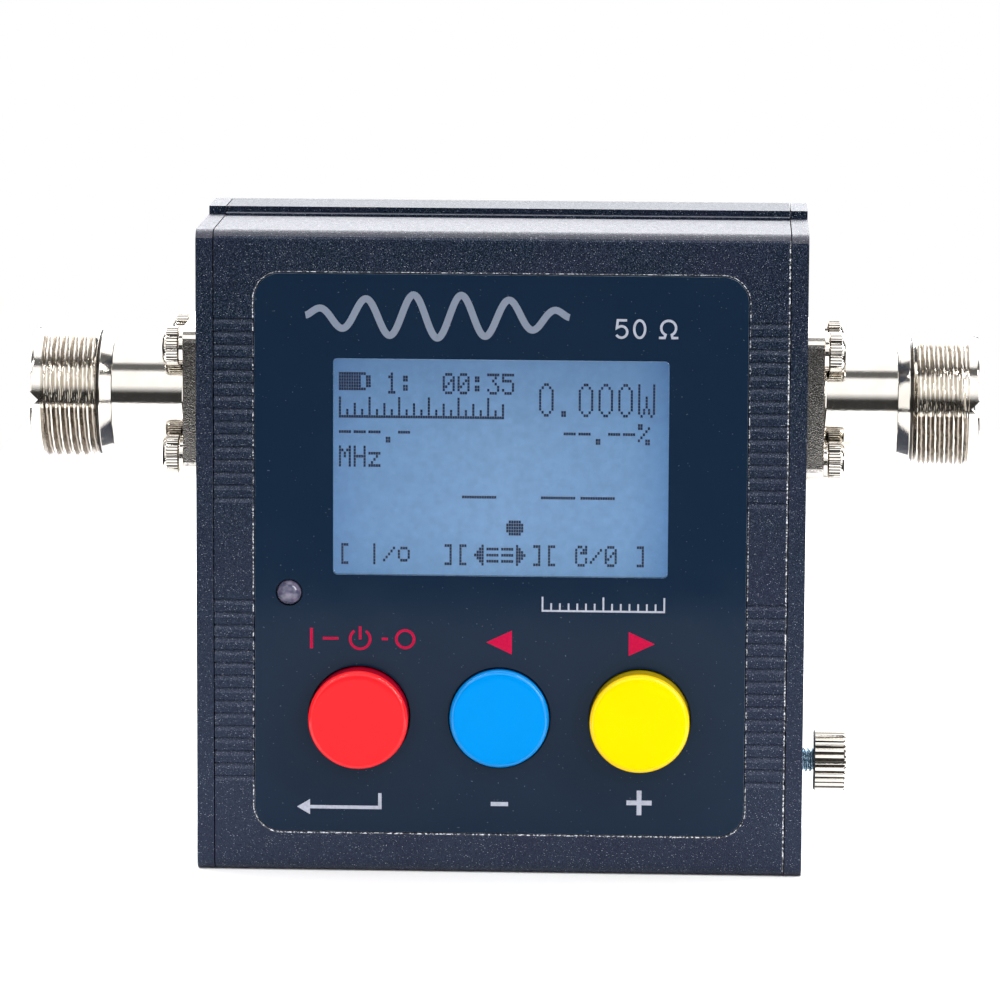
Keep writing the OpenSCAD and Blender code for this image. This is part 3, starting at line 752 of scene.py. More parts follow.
def end_plate(side):
    """side is 1 for the right end and -1 for the left."""
    name = ENDS[side]
    inner, outer = side * (CASE_X - PLATE_T), side * CASE_X
    plate = prism(f"{name}_end_plate_detail", end_plate_outline(), inner, outer, on_end, PAINT)
    low, high = sorted((inner - side, outer + side))
    cutters = []
    sink = [(CASE_X - 1.15, CHANNEL_HOLE_R), (CASE_X, 2.35), (CASE_X + 0.5, 2.35)]
    for y, z in FRONT_CHANNELS + REAR_CHANNELS:
        cutters += bores(CHANNEL_HOLE_R, 24, [(y, z)], low, high)
        cutters.append(turned("sink", sink, 48, lambda u, a, b, y=y, z=z: (side * u, y + a, z + b)))
    cutters += bores(5.9, 48, [(0, SOCKET_Z)], low, high)
    cutters += bores(CHANNEL_HOLE_R, 24, BOLTS, low, high)
    if side > 0:
        cutters += bores(1.52, 32, [(0, KNOB_Z)], low, high)
    else:
        usb_lo, usb_hi = mm_box("charging_socket")
        slot = round_rect(usb_hi.y - usb_lo.y + 0.8, usb_hi.z - usb_lo.z + 0.8, 0.6, 4,
                          ((usb_lo.y + usb_hi.y) / 2, (usb_lo.z + usb_hi.z) / 2))
        cutters.append(prism("slot", slot, low, high, on_end))
    carve(plate, cutters)
    soften(plate, 0.30, segments=3)
    # The top and most of its rounded edge get the brighter copy of the paint, a painted sheen.
    dress_faces(plate, STEP_SHEEN_PAINT, on_top_curve)
    finish(plate, "case", [f"{name}_end_plate"])


# ---- front panel ----


def front_panel():
    outline = round_rect(*PANEL_SIZE, PANEL_R, 12, (0, PANEL_Z))
    panel = prism("front_panel_detail", outline, PANEL_LO.y, PANEL_HI.y, on_front, PANEL)
    y0, y1 = PANEL_LO.y - 1, PANEL_HI.y + 1
    cutters = [prism("window", round_rect(*WINDOW_SIZE, WINDOW_R, 5, (0, WINDOW_Z)), y0, y1, on_front)]
    cutters += bores(CAP_HOLE_R, 96, CAP_CENTRES, y0, y1, on_front)
    cutters += bores(LED_HOLE_R, 40, [(LED_X, LED_Z)], y0, y1, on_front)
    carve(panel, cutters)
    soften(panel, 0.09)
    reach_x, reach_z = PANEL_SIZE[0] / 2 - 1, PANEL_SIZE[1] / 2 - 1

    def on_edge(face):
        x, z = abs(face.center.x / MM), abs(face.center.z / MM - PANEL_Z)
        return (x > reach_x or z > reach_z) and abs(face.normal.y) < 0.95

    # The panel's edge faces get the lighter material, a painted highlight.
    dress_faces(panel, PANEL_EDGE_HIGHLIGHT, on_edge)
    finish(panel, "case", ["front_panel"])


def window_pane():
    width, height = WINDOW_HI.x - WINDOW_LO.x, WINDOW_HI.z - WINDOW_LO.z
    outline = round_rect(width, height, WINDOW_R, 5, (0, WINDOW_Z))
    pane = prism("display_window_detail", outline, WINDOW_LO.y, WINDOW_HI.y, on_front, CLEAR_PANE)
    soften(pane, 0.06)
    finish(pane, "case", ["display_window"])


def button_cap(name):
    low, high = CAPS[name]
    centre_x, face_y, base = (low.x + high.x) / 2, low.y, high.y
    socket_y = mm_box(f"{name}_switch_plunger")[0].y - 0.03
    edge = CAP_EDGE_R

    def square_row(y):
        """A row of the square socket that fits over the switch's plunger."""
        return lambda a: (y, CAP_SOCKET / max(abs(math.cos(a)), abs(math.sin(a))))

    def place(u, a, b):
        return (centre_x + a, u, CAP_Z + b)

    def on_edge(face):
        return face.center.y < (face_y + edge) * MM and abs(face.normal.y) < 0.985

    def on_side(face):
        return abs(face.normal.y) < 0.13

    rows = [square_row(socket_y), square_row(base), (base, CAP_R - 0.15), (base - 0.15, CAP_R)]
    for i in range(7):
        t = math.radians(15 * i)
        rows.append((face_y + edge - edge * math.sin(t), CAP_R - edge + edge * math.cos(t)))
    rows += [(face_y + 0.012 * (1 - (r / CAP_R) ** 2), r) for r in (4.5, 3.6, 2.6, 1.6, 0.7)]
    color, sheen, shaded_side_color = CAP_LOOKS[name]
    cap = turned(f"{name}_cap_detail", rows, 96, place, gloss_plastic(f"{name}_gloss", color, sheen))
    # The rim gets a copy of the plastic that reflects more strongly and more whitely, a painted sheen for its
    # highlights.
    dress_faces(cap, gloss_plastic(f"{name}_gloss_edge_painted_sheen", color, RIM_PAINTED_SHEEN, 1.42), on_edge)
    # The cap's sides get the darker colour, a painted shade.
    dress_faces(cap, gloss_plastic(f"{name}_gloss_painted_shade_side", shaded_side_color, sheen), on_side)
    finish(cap, f"{name}_button", [f"{name}_button_cap"], smooth=40)


def status_led():
    def place(u, a, b):
        return (LED_X + a, u, LED_Z + b)

    r = (LED_HI.x - LED_LO.x) / 2
    dome = LED_LO.y + r
    rows = [(LED_HI.y - 0.5, r), (dome, r)]
    for i in range(1, 8):
        t = math.radians(11.25 * i)
        rows.append((dome - r * math.sin(t), r * math.cos(t)))
    lens = turned("status_led_lens", rows, 40, place, CLEAR_LENS)
    finish(lens, "case", ["status_led"], smooth=50)
    cup_rows = [(dome + 2.2, 0.35), (dome + 1.2, 0.40), (dome + 0.55, 0.85)]
    cup_rows += [(dome + 0.55, 0.98), (dome + 1.3, 0.98), (dome + 2.2, 0.7)]
    cup = turned("status_led_cup", cup_rows, 32, place, TIN)
    finish(cup, "case", smooth=32)


# ---- display ----

COLUMN = 0.2835
ROW = 0.3545
GRID_LEFT = -18.62
GRID_TOP = 58.38

FONT = {
    "0": "01110 10001 10011 10101 11001 10001 01110",
    "1": "00100 01100 00100 00100 00100 00100 01110",
    "3": "11111 00010 00100 00010 00001 10001 01110",
    "5": "11111 10000 11110 00001 00001 10001 01110",
    ":": "00000 01100 01100 00000 01100 01100 00000",
    ".": "00000 00000 00000 00000 00000 01100 01100",
    "-": "00000 00000 00000 11111 00000 00000 00000",
    "%": "11000 11001 00010 00100 01000 10011 00011",
    "[": "01110 01000 01000 01000 01000 01000 01110",
    "]": "01110 00010 00010 00010 00010 00010 01110",
    "M": "10001 11011 10101 10101 10001 10001 10001",
    "H": "10001 10001 10001 11111 10001 10001 10001",
    "z": "00000 00000 11111 00010 00100 01000 11111",
    "/": "00000 00001 00010 00100 01000 10000 00000",
    "|": "00100 00100 00100 00100 00100 00100 00100",
    "o": "00000 01110 10001 10001 10001 01110 00000",
    "=": "00000 11111 00000 11111 00000 11111 00000",
    "<": "00001 00011 00111 01111 00111 00011 00001",
    ">": "10000 11000 11100 11110 11100 11000 10000",
    "@": "01101 10011 10111 10000 10001 10001 01110",
}

BIG_FONT = {
    "0": "001100 010010" + " 100001" * 7 + " 010010 001100",
    ".": "000000 " * 9 + "011000 011000",
    "W": "1000001 " * 4 + "1001001 " * 4 + "1010101 1010101 0100010",
}

BATTERY_ICON = "1111111111100" + " 1111111110011" * 4 + " 1111111111100"
BLOB = "0111110 1111111 1111111 1111111 0111110"


def icon_dots(icon, column, row):
    """Lit dots of an icon, whose rows are words of 0 and 1."""
    lines = enumerate(icon.split())
    return [(column + c, row + r) for r, line in lines for c, bit in enumerate(line) if bit == "1"]


def text_dots(text, column, row, font=FONT, advance=6):
    dots = []
    for i, char in enumerate(text):
        if char != " ":
            dots += icon_dots(font[char], column + i * advance, row)
    return dots


def scale_dots(column, row, count):
    """A dial scale: a long mark every six columns with short ones between, over a base line."""
    dots = [(column + c, row + 6) for c in range(count * 6 + 1)]
    for i in range(count * 2 + 1):
        height = 6 if i % 4 == 0 else (4 if i % 2 == 0 else 2)
        dots += [(column + i * 3, row + 5 - k) for k in range(height)]
    return dots


SHOWN = (
    ("1:", 19, 0), ("00:35", 42, 0), ("---.-", 0, 16), ("--.--%", 91, 16), ("MHz", 0, 24),
    ("[ |/o  ][<==>][ @/0 ]", 0, 56),
)


def display_dots():
    dots = icon_dots(BATTERY_ICON, 0, 0) + icon_dots(BLOB, 68, 48)
    for text, column, row in SHOWN:
        dots += text_dots(text, column, row)
    dots += text_dots("0.000W", 81, 3, BIG_FONT, 8)
    dots += scale_dots(0, 8, 11)
    for column in (50, 82, 98):
        dots += [(column + c, 40) for c in range(14)]
    return sorted(set(dots))


def lcd_face():
    outline = round_rect(GLASS_HI.x - GLASS_LO.x, GLASS_HI.z - GLASS_LO.z, 0.3, 3, (0, WINDOW_Z))
    face = prism("lcd_face", outline, GLASS_LO.y, GLASS_HI.y, on_front, display_face())
    soften(face, 0.1)
    finish(face, "case", ["lcd_glass"])


def lcd_dots():
    """Each lit dot is a thin block on the face of the glass."""
    verts, faces = [], []
    gap = 0.035
    y0, y1 = GLASS_LO.y - 0.02, GLASS_LO.y + 0.005
    for column, row in display_dots():
        x0, z1 = GRID_LEFT + column * COLUMN, GRID_TOP - row * ROW
        x1, z0 = x0 + COLUMN - gap, z1 - ROW + gap
        base = len(verts)
        verts += [(x, y, z) for y in (y0, y1) for x, z in ((x0, z0), (x1, z0), (x1, z1), (x0, z1))]
        for face in ((0, 1, 2, 3), (7, 6, 5, 4), (0, 4, 5, 1), (1, 5, 6, 2), (2, 6, 7, 3), (3, 7, 4, 0)):
            faces.append(tuple(base + i for i in face))
    dark = ink("display_dots", (0.003, 0.007, 0.045), 0.45)
    dots = piece_from("lcd_dots", verts, faces, dark)
    finish(dots, "case")


# ---- sockets ----

THREAD_PITCH = 25.4 / 24
THREAD_CREST_R = 7.94
THREAD_ROOT_R = 7.30
THREAD_FROM = 12.28
THREAD_TO = 18.6
RIM_U = 20.0
RIM_R = 7.45
MOUTH_R = 6.18
NOTCH_DEPTH = 1.0
NOTCH_HALF = math.radians(7.5)
SOCKET_SEGMENTS = 144


def end_place(side, z):
    """Points of a piece whose axis runs outwards from an end plate, turned round for the left side."""
    return lambda u, a, b: (side * (CASE_X + u), side * a, z + b)


def ridge(phase, crest=0.18, root=0.20):
    """A thread's section: 1 on the crest, 0 in the root, for a phase from 0 to 1."""
    t = abs((phase % 1.0) - 0.5) * 2
    flank = 1 - crest - root
    return min(1.0, max(0.0, (1 - root - t) / flank))


def thread_rows(start, end, root, crest, pitch, per_pitch=18):
    """Rows of a right-handed helical thread, running out at both ends."""
    count = round((end - start) / pitch * per_pitch)
    rows = []
    for i in range(count + 1):
        u = start + (end - start) * i / count
        fade = min(1.0, (u - start) / (0.45 * pitch), (end - u) / (0.45 * pitch))
        rows.append(lambda a, u=u, fade=fade: (
            u, root + (crest - root) * min(ridge(u / pitch - a / TAU), max(0.0, fade))
        ))
    return rows


def notch(a):
    """Depth of the rim's four V notches at an angle."""
    away = abs((a + math.pi / 4) % (math.pi / 2) - math.pi / 4)
    return NOTCH_DEPTH * max(0.0, 1 - away / NOTCH_HALF)


def rim_row(u, r):
    """A row near the rim, lowered where a notch reaches it."""
    return lambda a: (min(u, RIM_U - notch(a)), r)


def socket_barrel(side):
    rows = [(-3.2, 4.98), (-3.2, 5.65), (-3.05, 5.8), (0.8, 5.8), (0.8, 6.45)]
    rows += [(FLANGE_T, 6.75)] + arc((FLANGE_T + 0.35, 6.80), 0.35, 180, 270, 3)
    rows += [(2.75, 6.45), (4.2, 6.45), (7.2, 6.45), (10.35, 6.45), (10.50, 6.45)]
    rows += [(10.52, 6.73), (10.58, 6.79), (10.62, 6.81), (11.25, 7.085)]
    rows += [(11.86, 7.36), (11.90, 7.375), (11.96, 7.37), (11.99, 7.30)]
    rows += [(12.01, 6.90), (12.26, 6.90)]
    rows += thread_rows(THREAD_FROM, THREAD_TO, THREAD_ROOT_R, THREAD_CREST_R, THREAD_PITCH)
    rows += [(18.65, RIM_R - 0.1), (18.75, RIM_R)]
    rows += [rim_row(u, RIM_R) for u in (18.95, 19.25, 19.55)]
    rows += [rim_row(19.80, RIM_R), rim_row(19.93, RIM_R - 0.07), rim_row(RIM_U, RIM_R - 0.2)]
    rows += [rim_row(RIM_U, r) for r in (7.0, 6.7, MOUTH_R + 0.16)]
    rows += [rim_row(RIM_U - 0.14, MOUTH_R), rim_row(19.4, MOUTH_R), rim_row(18.95, MOUTH_R)]
    rows += [(12.0, MOUTH_R), (12.0, 4.98)]
    return turned("barrel", rows, SOCKET_SEGMENTS, end_place(side, SOCKET_Z), NICKEL, closed=False)


def out_and_across(face, side, y, z):
    """A face's distances from an end plate and from the axis at (y, z)."""
    middle = face.center / MM
    return side * middle.x - CASE_X, math.hypot(middle.y - y, middle.z - z)


def dress_thread(barrel, side):
    """Plating painted darker as shade on the thread's flanks, and in the groove behind it."""
    def on_flank(face):
        u, r = out_and_across(face, side, 0, SOCKET_Z)
        height = (face.center.z / MM - SOCKET_Z) / r
        shaded = height < -0.12 or (height > 0.55 and side * face.normal.x > 0)
        return shaded and THREAD_FROM < u < THREAD_TO and 7.0 < r < THREAD_CREST_R - 0.04

    def in_groove(face):
        u, r = out_and_across(face, side, 0, SOCKET_Z)
        return 11.985 < u < THREAD_FROM and 6.8 < r < 7.35

    dress_faces(barrel, SHADED_FLANK_NICKEL, on_flank)
    dress_faces(barrel, SHADED_GROOVE_NICKEL, in_groove)


def close_ring(piece):
    """Joins a turned piece's last ring to its first with one band of faces."""
    def change(work):
        edges = [e for e in work.edges if len(e.link_faces) == 1]
        bmesh.ops.bridge_loops(work, edges=edges)
        face_outwards(work)

    edit_mesh(piece.data, change)


def socket_flange(side):
    name = ENDS[side]
    outline = round_rect(FLANGE_SIDE, FLANGE_SIDE, 1.7, 6, (0, SOCKET_Z))
    low, high = sorted((side * CASE_X, side * (CASE_X + FLANGE_T)))
    flange = prism(f"{name}_flange", outline, low, high, on_end, NICKEL)
    cutters = bores(6.3, 96, [(0, SOCKET_Z)], low - 1, high + 1)
    cutters += bores(1.35, 32, BOLTS, low - 1, high + 1)
    carve(flange, cutters)
    soften(flange, 0.16, segments=3)
    dress_faces(flange, NICKEL_CAST, lambda face: abs(face.normal.y) > 0.93)
    finish(flange, "case", [f"{name}_connector_body"])


def socket(side):
    name = ENDS[side]
    barrel = socket_barrel(side)
    close_ring(barrel)
    dress_thread(barrel, side)
    barrel.name = f"{name}_socket_barrel"
    finish(barrel, "case", smooth=30)
    socket_flange(side)
    place = end_place(side, SOCKET_Z)
    rows = [(-3.6, 2.6), (-3.6, 4.80), (-3.45, 4.95), (11.9, 4.95), (12.03, 6.0)]
    rows += [(18.45, 6.14), (18.6, 6.0), (18.6, 5.25), (18.35, 5.1), (18.35, 4.3)]
    rows += [(18.6, 4.15), (18.6, 3.0), (18.5, 2.84), (-3.6, 2.6)]
    insulator = turned(f"{name}_insulator_detail", rows[:-1], 96, place, PTFE, closed=False)
    close_ring(insulator)
    finish(insulator, "case", [f"{name}_insulator"], smooth=32)
    rows = [(-9.5, 1.05), (-9.3, 1.25), (3.9, 1.25), (4.0, 2.5), (4.1, 2.8)]
    rows += [(18.75, 2.8), (18.95, 2.68), (19.0, 2.5), (19.0, 2.3), (18.8, 2.03)]
    rows += [(10.6, 2.03), (10.2, 1.2)]
    contact = turned(f"{name}_contact_detail", rows, 64, place, CONTACT)
    slots = []
    for turn in (0, 90):
        half_w, reach = 0.22, 4.0
        outline = [(-half_w, -reach), (half_w, -reach), (half_w, reach), (-half_w, reach)]
        c, s = math.cos(math.radians(turn)), math.sin(math.radians(turn))

        def turned_place(a, b, t, c=c, s=s):
            return place(t, a * c - b * s, a * s + b * c)

        slots.append(prism("slot", outline, 13.5, 20.5, turned_place))
    carve(contact, slots)
    finish(contact, "case", [f"{name}_centre_contact"], smooth=32)


def hexagon_radius(a, flats):
    """Distance from the centre to a hexagon's side at an angle."""
    return flats / 2 / math.cos((a + math.pi / 6) % (math.pi / 3) - math.pi / 6)


def knurl(a, count, depth):
    """Straight knurling: how much lower than the crest the surface is at an angle."""
    return depth * (1 - ridge(a / TAU * count, 0.45, 0.12))


def cap_screw(side, y, z, washer_top):
    """A socket-cap screw with a knurled head."""
    head_r, head_l, ridges, depth = 2.25, 1.95, 36, 0.11
    top = washer_top + head_l

    def place(u, a, b):
        return (side * (CASE_X + u), y + a, z + b)

    def head(u, r, grip):
        return lambda a: (u, r - grip * knurl(a, ridges, depth))

    def socket_row(u, extra=0.0):
        return lambda a: (u, hexagon_radius(a, 2.0) + extra)

    rows = [(washer_top - 6.5, 1.0), (washer_top - 6.2, 1.22), (washer_top, 1.25)]
    rows += [(washer_top, head_r - 0.35), (washer_top + 0.03, head_r - 0.30)]
    rows += [(washer_top + 0.15, head_r - 0.14), head(washer_top + 0.17, head_r, 1)]
    rows += [head(top - 0.55, head_r, 1), head(top - 0.50, head_r - 0.01, 0.5)]
    rows += [(top - 0.42, head_r - 0.04), (top - 0.20, head_r - 0.14)]
    rows += [(top - 0.06, head_r - 0.27), (top, head_r - 0.48)]
    rows += [socket_row(top, 0.18), socket_row(top - 0.14), socket_row(top - 1.2), (top - 1.45, 0.5)]
    screw = turned("screw", rows, 216, place, NICKEL)

    def in_groove(face):
        u, r = out_and_across(face, side, y, z)
        return washer_top + 0.16 < u < top - 0.5 and 1.8 < r < head_r - 0.035

    # The head's knurling grooves get plating painted dark as shade.
    dress_faces(screw, SHADED_GROOVE_NICKEL, in_groove)
    return screw


def split_washer(side, y, z):
    """A spring washer: a ring with a slanted gap."""
    inner, outer, top = 1.3, 2.2, FLANGE_T + WASHER_T
    steps, gap = 48, math.radians(14)
    corners = [(FLANGE_T, inner), (FLANGE_T, outer), (top, outer), (top, inner)]
    verts, faces = [], []
    for i in range(steps + 1):
        a = gap / 2 + (TAU - gap) * i / steps + 0.6
        for u, r in corners:
            verts.append((side * (CASE_X + u), y + r * math.cos(a), z + r * math.sin(a)))
    for i in range(steps):
        for k in range(4):
            n = (k + 1) % 4
            faces.append((4 * i + k, 4 * i + n, 4 * i + 4 + n, 4 * i + 4 + k))
    faces += [(0, 1, 2, 3), (4 * steps + 3, 4 * steps + 2, 4 * steps + 1, 4 * steps)]
    return piece_from("washer", verts, faces, NICKEL)


def flange_hardware(side):
    name = ENDS[side]
    screws = join(f"{name}_cap_screws", [cap_screw(side, y, z, FLANGE_T + WASHER_T) for y, z in BOLTS])
    finish(screws, "case", [f"{name}_connector_screws"], smooth=28)
    washers = join(f"{name}_spring_washers", [split_washer(side, y, z) for y, z in BOLTS])
    soften(washers, 0.07)
    finish(washers, "case", [f"{name}_connector_washers"])


# ---- ground screw ----


def ground_screw():
    place = end_place(1, KNOB_Z)
    stud_lo, stud_hi = mm_box("ground_screw_stud")
    start, end = stud_lo.x - CASE_X, stud_hi.x - CASE_X
    rows = [(start, 0.9)] + thread_rows(start, end, 1.14, 1.47, 0.5, 12)
    stud = turned("ground_screw_stud_detail", rows, 48, place, ZINC)
    finish(stud, "ground_screw_stud", ["ground_screw_stud"], smooth=40)
    low, high = KNOB_LO.x - CASE_X, KNOB_HI.x - CASE_X
    radius, ridges, depth = (KNOB_HI.z - KNOB_LO.z) / 2, 30, 0.28

    def grip(u, r, share):
        return lambda a: (u, r - share * knurl(a, ridges, depth))

    rows = [(low + 2.53, 0.6), (low + 2.5, 1.50), (low, 1.50), (low, radius - 0.30)]
    rows += [(low + 0.05, radius - 0.26), (low + 0.22, radius - 0.10), grip(low + 0.25, radius, 1)]
    rows += [grip(high - 0.42, radius, 1), grip(high - 0.30, radius - 0.08, 0.7)]
    rows += [(high - 0.12, radius - 0.30), (high, radius - 0.60)]
    rows += [(high, 2.2), (high - 0.25, 2.0), (high - 0.3, 0.6)]
    knob = turned("ground_screw_knob_detail", rows, 360, place, NICKEL)

    def in_groove(face):
        u, r = out_and_across(face, 1, 0, KNOB_Z)
        return low + 0.2 < u < high - 0.25 and 2.6 < r < radius - 0.10

    # The knob's knurling grooves get plating painted dark as shade.
    dress_faces(knob, SHADED_GROOVE_NICKEL, in_groove)
    finish(knob, "ground_screw_knob", ["ground_screw_knob"], smooth=25)


# ---- printed marks ----

PRINT_Y = PANEL_LO.y - 0.015
PRINT_T = 0.02


def flat_print(name, outlines, lines, material):
    """Thin printed shapes on the panel: outlines and lines, both in (x, z)."""
    parts = [prism("mark", outline, PRINT_Y, PRINT_Y + PRINT_T, on_front, material) for outline in outlines]
    parts += [ribbon(points, width, material, closed) for points, width, closed in lines]
    finish(join(name, parts), "case")


def bar(x0, z0, x1, z1):
    return [(x0, z0), (x1, z0), (x1, z1), (x0, z1)]


def offsets(points, width, closed):
    """The two edges of an even line along points, mitred at its corners."""
    vectors = [Vector(p) for p in points]
    n = len(vectors)
    edges = []
    for i, here in enumerate(vectors):
        before = vectors[i - 1] if closed or i > 0 else here * 2 - vectors[1]
        after = vectors[(i + 1) % n] if closed or i < n - 1 else here * 2 - vectors[n - 2]
        first, second = (here - before).normalized(), (after - here).normalized()
        along = (first + second).normalized()
        across = Vector((-along.y, along.x)) * (width / 2 / max(0.4, along.dot(first)))
        edges.append((here + across, here - across))
    return edges


def ribbon(points, width, material, closed=False):
    edges = offsets(points, width, closed)
    verts, faces = [], []
    for left, right in edges:
        verts += [on_front(*left, PRINT_Y), on_front(*right, PRINT_Y)]
        verts += [on_front(*right, PRINT_Y + PRINT_T), on_front(*left, PRINT_Y + PRINT_T)]
    n = len(edges)
    for i in range(n if closed else n - 1):
        a, b = 4 * i, 4 * ((i + 1) % n)
        faces += [(a + k, b + k, b + (k + 1) % 4, a + (k + 1) % 4) for k in range(4)]
    if not closed:
        faces += [(0, 1, 2, 3), tuple(range(4 * n - 1, 4 * n - 5, -1))]
    return piece_from("line", verts, faces, material)


def power_mark():
    """Power signs in red above the red button."""
    red = ink("red_ink", (0.38, 0.0005, 0.036), ior=1.2)
    z, x = 27.5, -16.1
    gap_ring = (arc((x, z - 0.05), 1.15, 125, 415, 32), 0.30, False)
    ring = (circle(1.02, 32, (-10.9, z)), 0.32, True)
    bars = [bar(x - 0.15, z - 0.1, x + 0.15, z + 1.45), bar(-21.9, z - 1.2, -21.55, z + 1.2)]
    bars += [bar(-20.4, z - 0.15, -18.6, z + 0.15), bar(-13.6, z - 0.15, -12.9, z + 0.15)]
    flat_print("power_marks", bars, [gap_ring, ring], red)


def arrow_marks():
    red = ink("arrow_ink", (0.43, 0.0005, 0.040), ior=1.2)
    left = [(-1.55, 27.25), (1.4, 25.85), (1.4, 28.65)]
    right = [(17.85, 27.25), (14.85, 28.65), (14.85, 25.85)]
    flat_print("arrow_marks", [left, right], [], red)


def grey_marks():
    grey = ink("grey_ink", (0.36, 0.38, 0.46))
    z = 8.25
    minus = bar(-0.95, z - 0.24, 1.05, z + 0.24)
    x, z, arm, half = 16.2, 8.6, 1.45, 0.28
    plus = [(half, half), (arm, half), (arm, -half), (half, -half), (half, -arm), (-half, -arm)]
    plus += [(-a, -b) for a, b in plus]
    plus = [(x + a, z + b) for a, b in plus]
    enter = [(-23.4, 7.65), (-21.9, 6.75), (-21.9, 7.45), (-13.6, 7.45), (-13.6, 9.35), (-14.0, 9.35)]
    enter += [(-14.0, 7.85), (-21.9, 7.85), (-21.9, 8.55)]
    flat_print("grey_marks", [minus, plus, enter], [], grey)


def scale_mark(pale):
    """A dial scale under the display, as one comb."""
    x0, x1, z, line = 4.8, 19.0, 30.9, 0.2
    count = 14
    comb = [(x1, z), (x0, z)]
    for i in range(count + 1):
        x = x0 + (x1 - x0 - line) * i / count
        top = z + (1.75 if i % 7 == 0 else 1.0)
        comb += [(x, z + 0.22)] * (i > 0) + [(x, top), (x + line, top)] + [(x + line, z + 0.22)] * (i < count)
    flat_print("scale_marks", [comb], [], pale)


def wave_mark():
    """A plain burst of waves across the top of the panel."""
    uneven = [(0.25, 2, (0.16, 0.18, 0.21), 0.45, 0.7, 0.7)]
    silver = surface("silver_ink", (0.155, 0.185, 0.25), 0.35, uneven)
    x0, x1, z, waves, steps = -22.4, 7.8, 65.0, 5.5, 264
    points = []
    for i in range(steps + 1):
        t = i / steps
        height = 2.5 * math.sin(math.pi * t) ** 0.6
        points.append((x0 + (x1 - x0) * t, z + height * math.sin(TAU * waves * t)))
    flat_print("wave_mark", [], [(points, 0.8, False)], silver)


def impedance_mark(pale):
    """50 ohm, as plain strokes."""
    w, z, h = 0.28, 62.75, 2.0
    five = [(14.35, z + h), (13.3, z + h), (13.2, z + 1.12)] + arc((13.72, z + 0.66), 0.66, 120, -150, 16)
    zero = [(15.8 + 0.62 * math.cos(a), z + 1.0 + math.sin(a)) for a in (TAU * i / 32 for i in range(32))]
    ohm = [(18.0, z + 0.02), (18.65, z + 0.02)] + arc((19.1, z + 1.15), 0.85, 245, -65, 20)
    ohm += [(19.55, z + 0.02), (20.2, z + 0.02)]
    flat_print("impedance_mark", [], [(five, w, False), (zero, w, True), (ohm, w, False)], pale)


# ---- stage ----

SKY_LOW = 0.05
SKY_GAP = 0.17
SKY_FRONT = 1.5
SKY_BACK = 3.1
SKY_ROOF = 1.5
CAMERA_TARGET = (-0.609, 0.0, 41.65)
CAMERA_AZIMUTH = 2.297
CAMERA_ELEVATION = 8.960
CAMERA_ROLL = 0.279
CAMERA_DISTANCE = 659.0
FOCAL_SHARE = 5.6226
SENSOR = 36.0


def camera():
    az, el, roll = (math.radians(v) for v in (CAMERA_AZIMUTH, CAMERA_ELEVATION, CAMERA_ROLL))
    ahead = Vector((-math.sin(az) * math.cos(el), math.cos(az) * math.cos(el), -math.sin(el)))
    level = ahead.cross(Vector((0, 0, 1))).normalized()
    upright = level.cross(ahead)
    right = level * math.cos(roll) + upright * math.sin(roll)
    up = upright * math.cos(roll) - level * math.sin(roll)
    data = bpy.data.cameras.new("camera")
    data.sensor_width = SENSOR
    data.lens = SENSOR * FOCAL_SHARE
    data.clip_start = 0.01
    eye = bpy.data.objects.new("camera", data)
    spot = (Vector(CAMERA_TARGET) - ahead * CAMERA_DISTANCE) * MM
    turn = Matrix((right, up, -ahead)).transposed().to_4x4()
    eye.matrix_world = Matrix.Translation(spot) @ turn
    bpy.context.scene.collection.objects.link(eye)
    bpy.context.scene.camera = eye


def area_light(name, size, power, matrix):
    data = bpy.data.lights.new(name, "AREA")
    data.shape = "RECTANGLE"
    data.size, data.size_y = size
    data.energy = power
    lamp = bpy.data.objects.new(name, data)
    lamp.matrix_world = matrix
    bpy.context.scene.collection.objects.link(lamp)


def soft_box(name, spot, aim, size, power):
    spot, aim = Vector(spot), Vector(aim)
    turn = (spot - aim).to_track_quat("Z", "Y").to_matrix().to_4x4()
    area_light(name, size, power, Matrix.Translation(spot) @ turn)


def strip_light(name, start, end, width, power):
    """A thin lamp from start to end, facing the meter."""
    start, end = Vector(start), Vector(end)
    spot = (start + end) / 2
    along = (end - start).normalized()
    back = (spot - along * spot.dot(along)).normalized()
    turn = Matrix((along, back.cross(along), back)).transposed().to_4x4()
    area_light(name, ((end - start).length, width), power, Matrix.Translation(spot) @ turn)


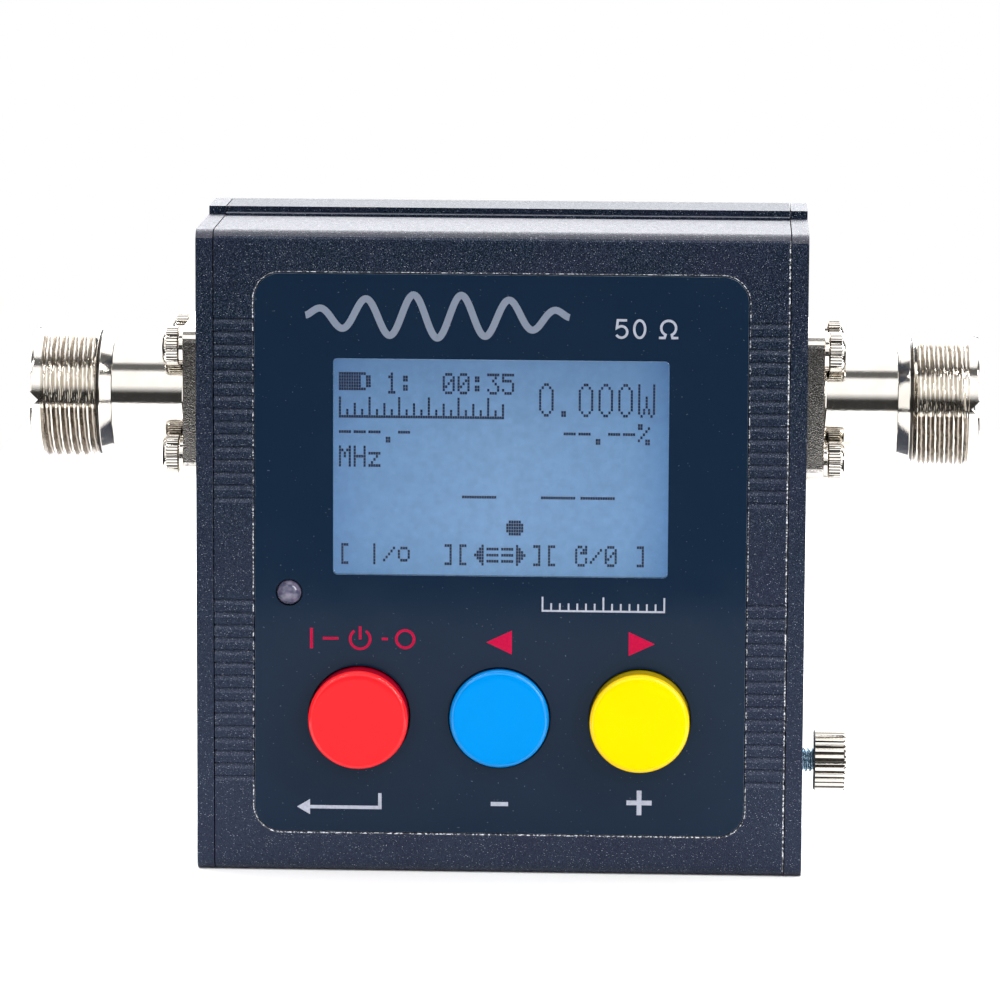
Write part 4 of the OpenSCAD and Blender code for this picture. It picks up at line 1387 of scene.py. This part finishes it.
def floor():
    """A white table top, small enough that the metal's flanks see past it."""
    mesh = bpy.data.meshes.new("floor")
    side, front, back = 0.10, -0.19, 0.35
    corners = [(-side, front, 0), (side, front, 0), (side, back, 0), (-side, back, 0)]
    mesh.from_pydata(corners, [], [(0, 1, 2, 3)])
    pale = Shader("floor_white", (0.95, 0.95, 0.95), 0.8)
    pale.rough(pale.noise(60, 2.0), 0.75, 0.85)
    mesh.materials.append(pale.material)
    link("floor", mesh)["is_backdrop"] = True


def world():
    """White to the camera. Otherwise dark, with a bright panel in front, a bright backdrop and a roof."""
    sky = bpy.data.worlds.new("studio")
    bpy.context.scene.world = sky
    sky.use_nodes = True
    graph = Graph(sky.node_tree)
    nodes, wire, change = graph.nodes, graph.wire, graph.spread
    across, ahead, up = graph.axes(graph.add("ShaderNodeTexCoord", "Generated", {}))

    def calculate(operation, *values):
        return graph.add("ShaderNodeMath", "Value", dict(enumerate(values)), operation=operation)

    def product(*values):
        total = values[0]
        for value in values[1:]:
            total = calculate("MULTIPLY", total, value)
        return total

    aside = calculate("ABSOLUTE", across)
    front = product(change(up, 0.12, 0.34, 0, SKY_FRONT), change(up, 0.77, 0.81, 1, 0),
                    change(aside, 0.35, 0.50, 1, 0), change(ahead, -0.05, 0.05, 1, 0))
    behind = calculate("MULTIPLY_ADD", aside, -0.4, ahead)
    back = product(change(behind, 0, 0.12, 0, SKY_BACK), change(up, -0.22, -0.16, 0, 1),
                   change(up, 0.06, 0.30, 0.8, 2.0), change(up, 0.55, 0.80, 1, 0))
    roof = calculate("MAXIMUM", change(up, 0.92, 0.95, 0, SKY_ROOF),
                     product(change(ahead, 0, 0.08, 0, SKY_ROOF), change(up, 0.35, 0.50, 0, 1)))
    dim = change(up, 0.1, 0.6, SKY_LOW, SKY_GAP)
    studio = nodes["Background"]
    studio.inputs["Color"].default_value = (0.97, 0.98, 1.0, 1)
    bright = calculate("ADD", calculate("ADD", front, back), calculate("ADD", roof, dim))
    wire(bright, studio.inputs["Strength"])
    white = graph.add("ShaderNodeBackground", "Background", {"Color": (1, 1, 1, 1)})
    seen = graph.add("ShaderNodeLightPath", "Is Camera Ray", {})
    inputs = {"Fac": seen, 1: studio.outputs["Background"], 2: white}
    mixed = graph.add("ShaderNodeMixShader", "Shader", inputs)
    wire(mixed, nodes["World Output"].inputs["Surface"])


def lights():
    """Soft boxes beside the camera, a lamp over the table, and two strips for the buttons' highlights."""
    soft_box("overhead", (0.0, 0.15, 0.75), (0, 0.02, 0.04), (0.7, 0.4), 0.8)
    soft_box("left_box", (-0.45, -0.42, 0.19), (0, 0, 0.04), (0.34, 0.50), 0.77)
    soft_box("right_box", (0.45, -0.42, 0.19), (0, 0, 0.04), (0.34, 0.50), 0.95)
    strip_light("right_strip", (0.22, -0.25, 0.54), (0.56, -0.20, 0.15), 0.05, 2.1)
    strip_light("left_strip", (-0.185, -0.25, 0.55), (-0.457, -0.226, 0.357), 0.035, 0.85)


bpy.context.scene.view_settings.view_transform = "Standard"

camera()
floor()
world()
lights()
dress_cad_nodes()
front_shell()
rear_shell()
for end in sorted(ENDS):
    end_plate(end)
    socket(end)
    flange_hardware(end)
front_panel()
window_pane()
lcd_face()
lcd_dots()
for button in BUTTONS:
    button_cap(button)
status_led()
ground_screw()
power_mark()
arrow_marks()
grey_marks()
pale_ink = ink("pale_ink", (0.34, 0.36, 0.43))
scale_mark(pale_ink)
wave_mark()
impedance_mark(pale_ink)

visual_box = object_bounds()
[[list(map(float, corner)) for corner in one] for one in (cad_box, visual_box)]
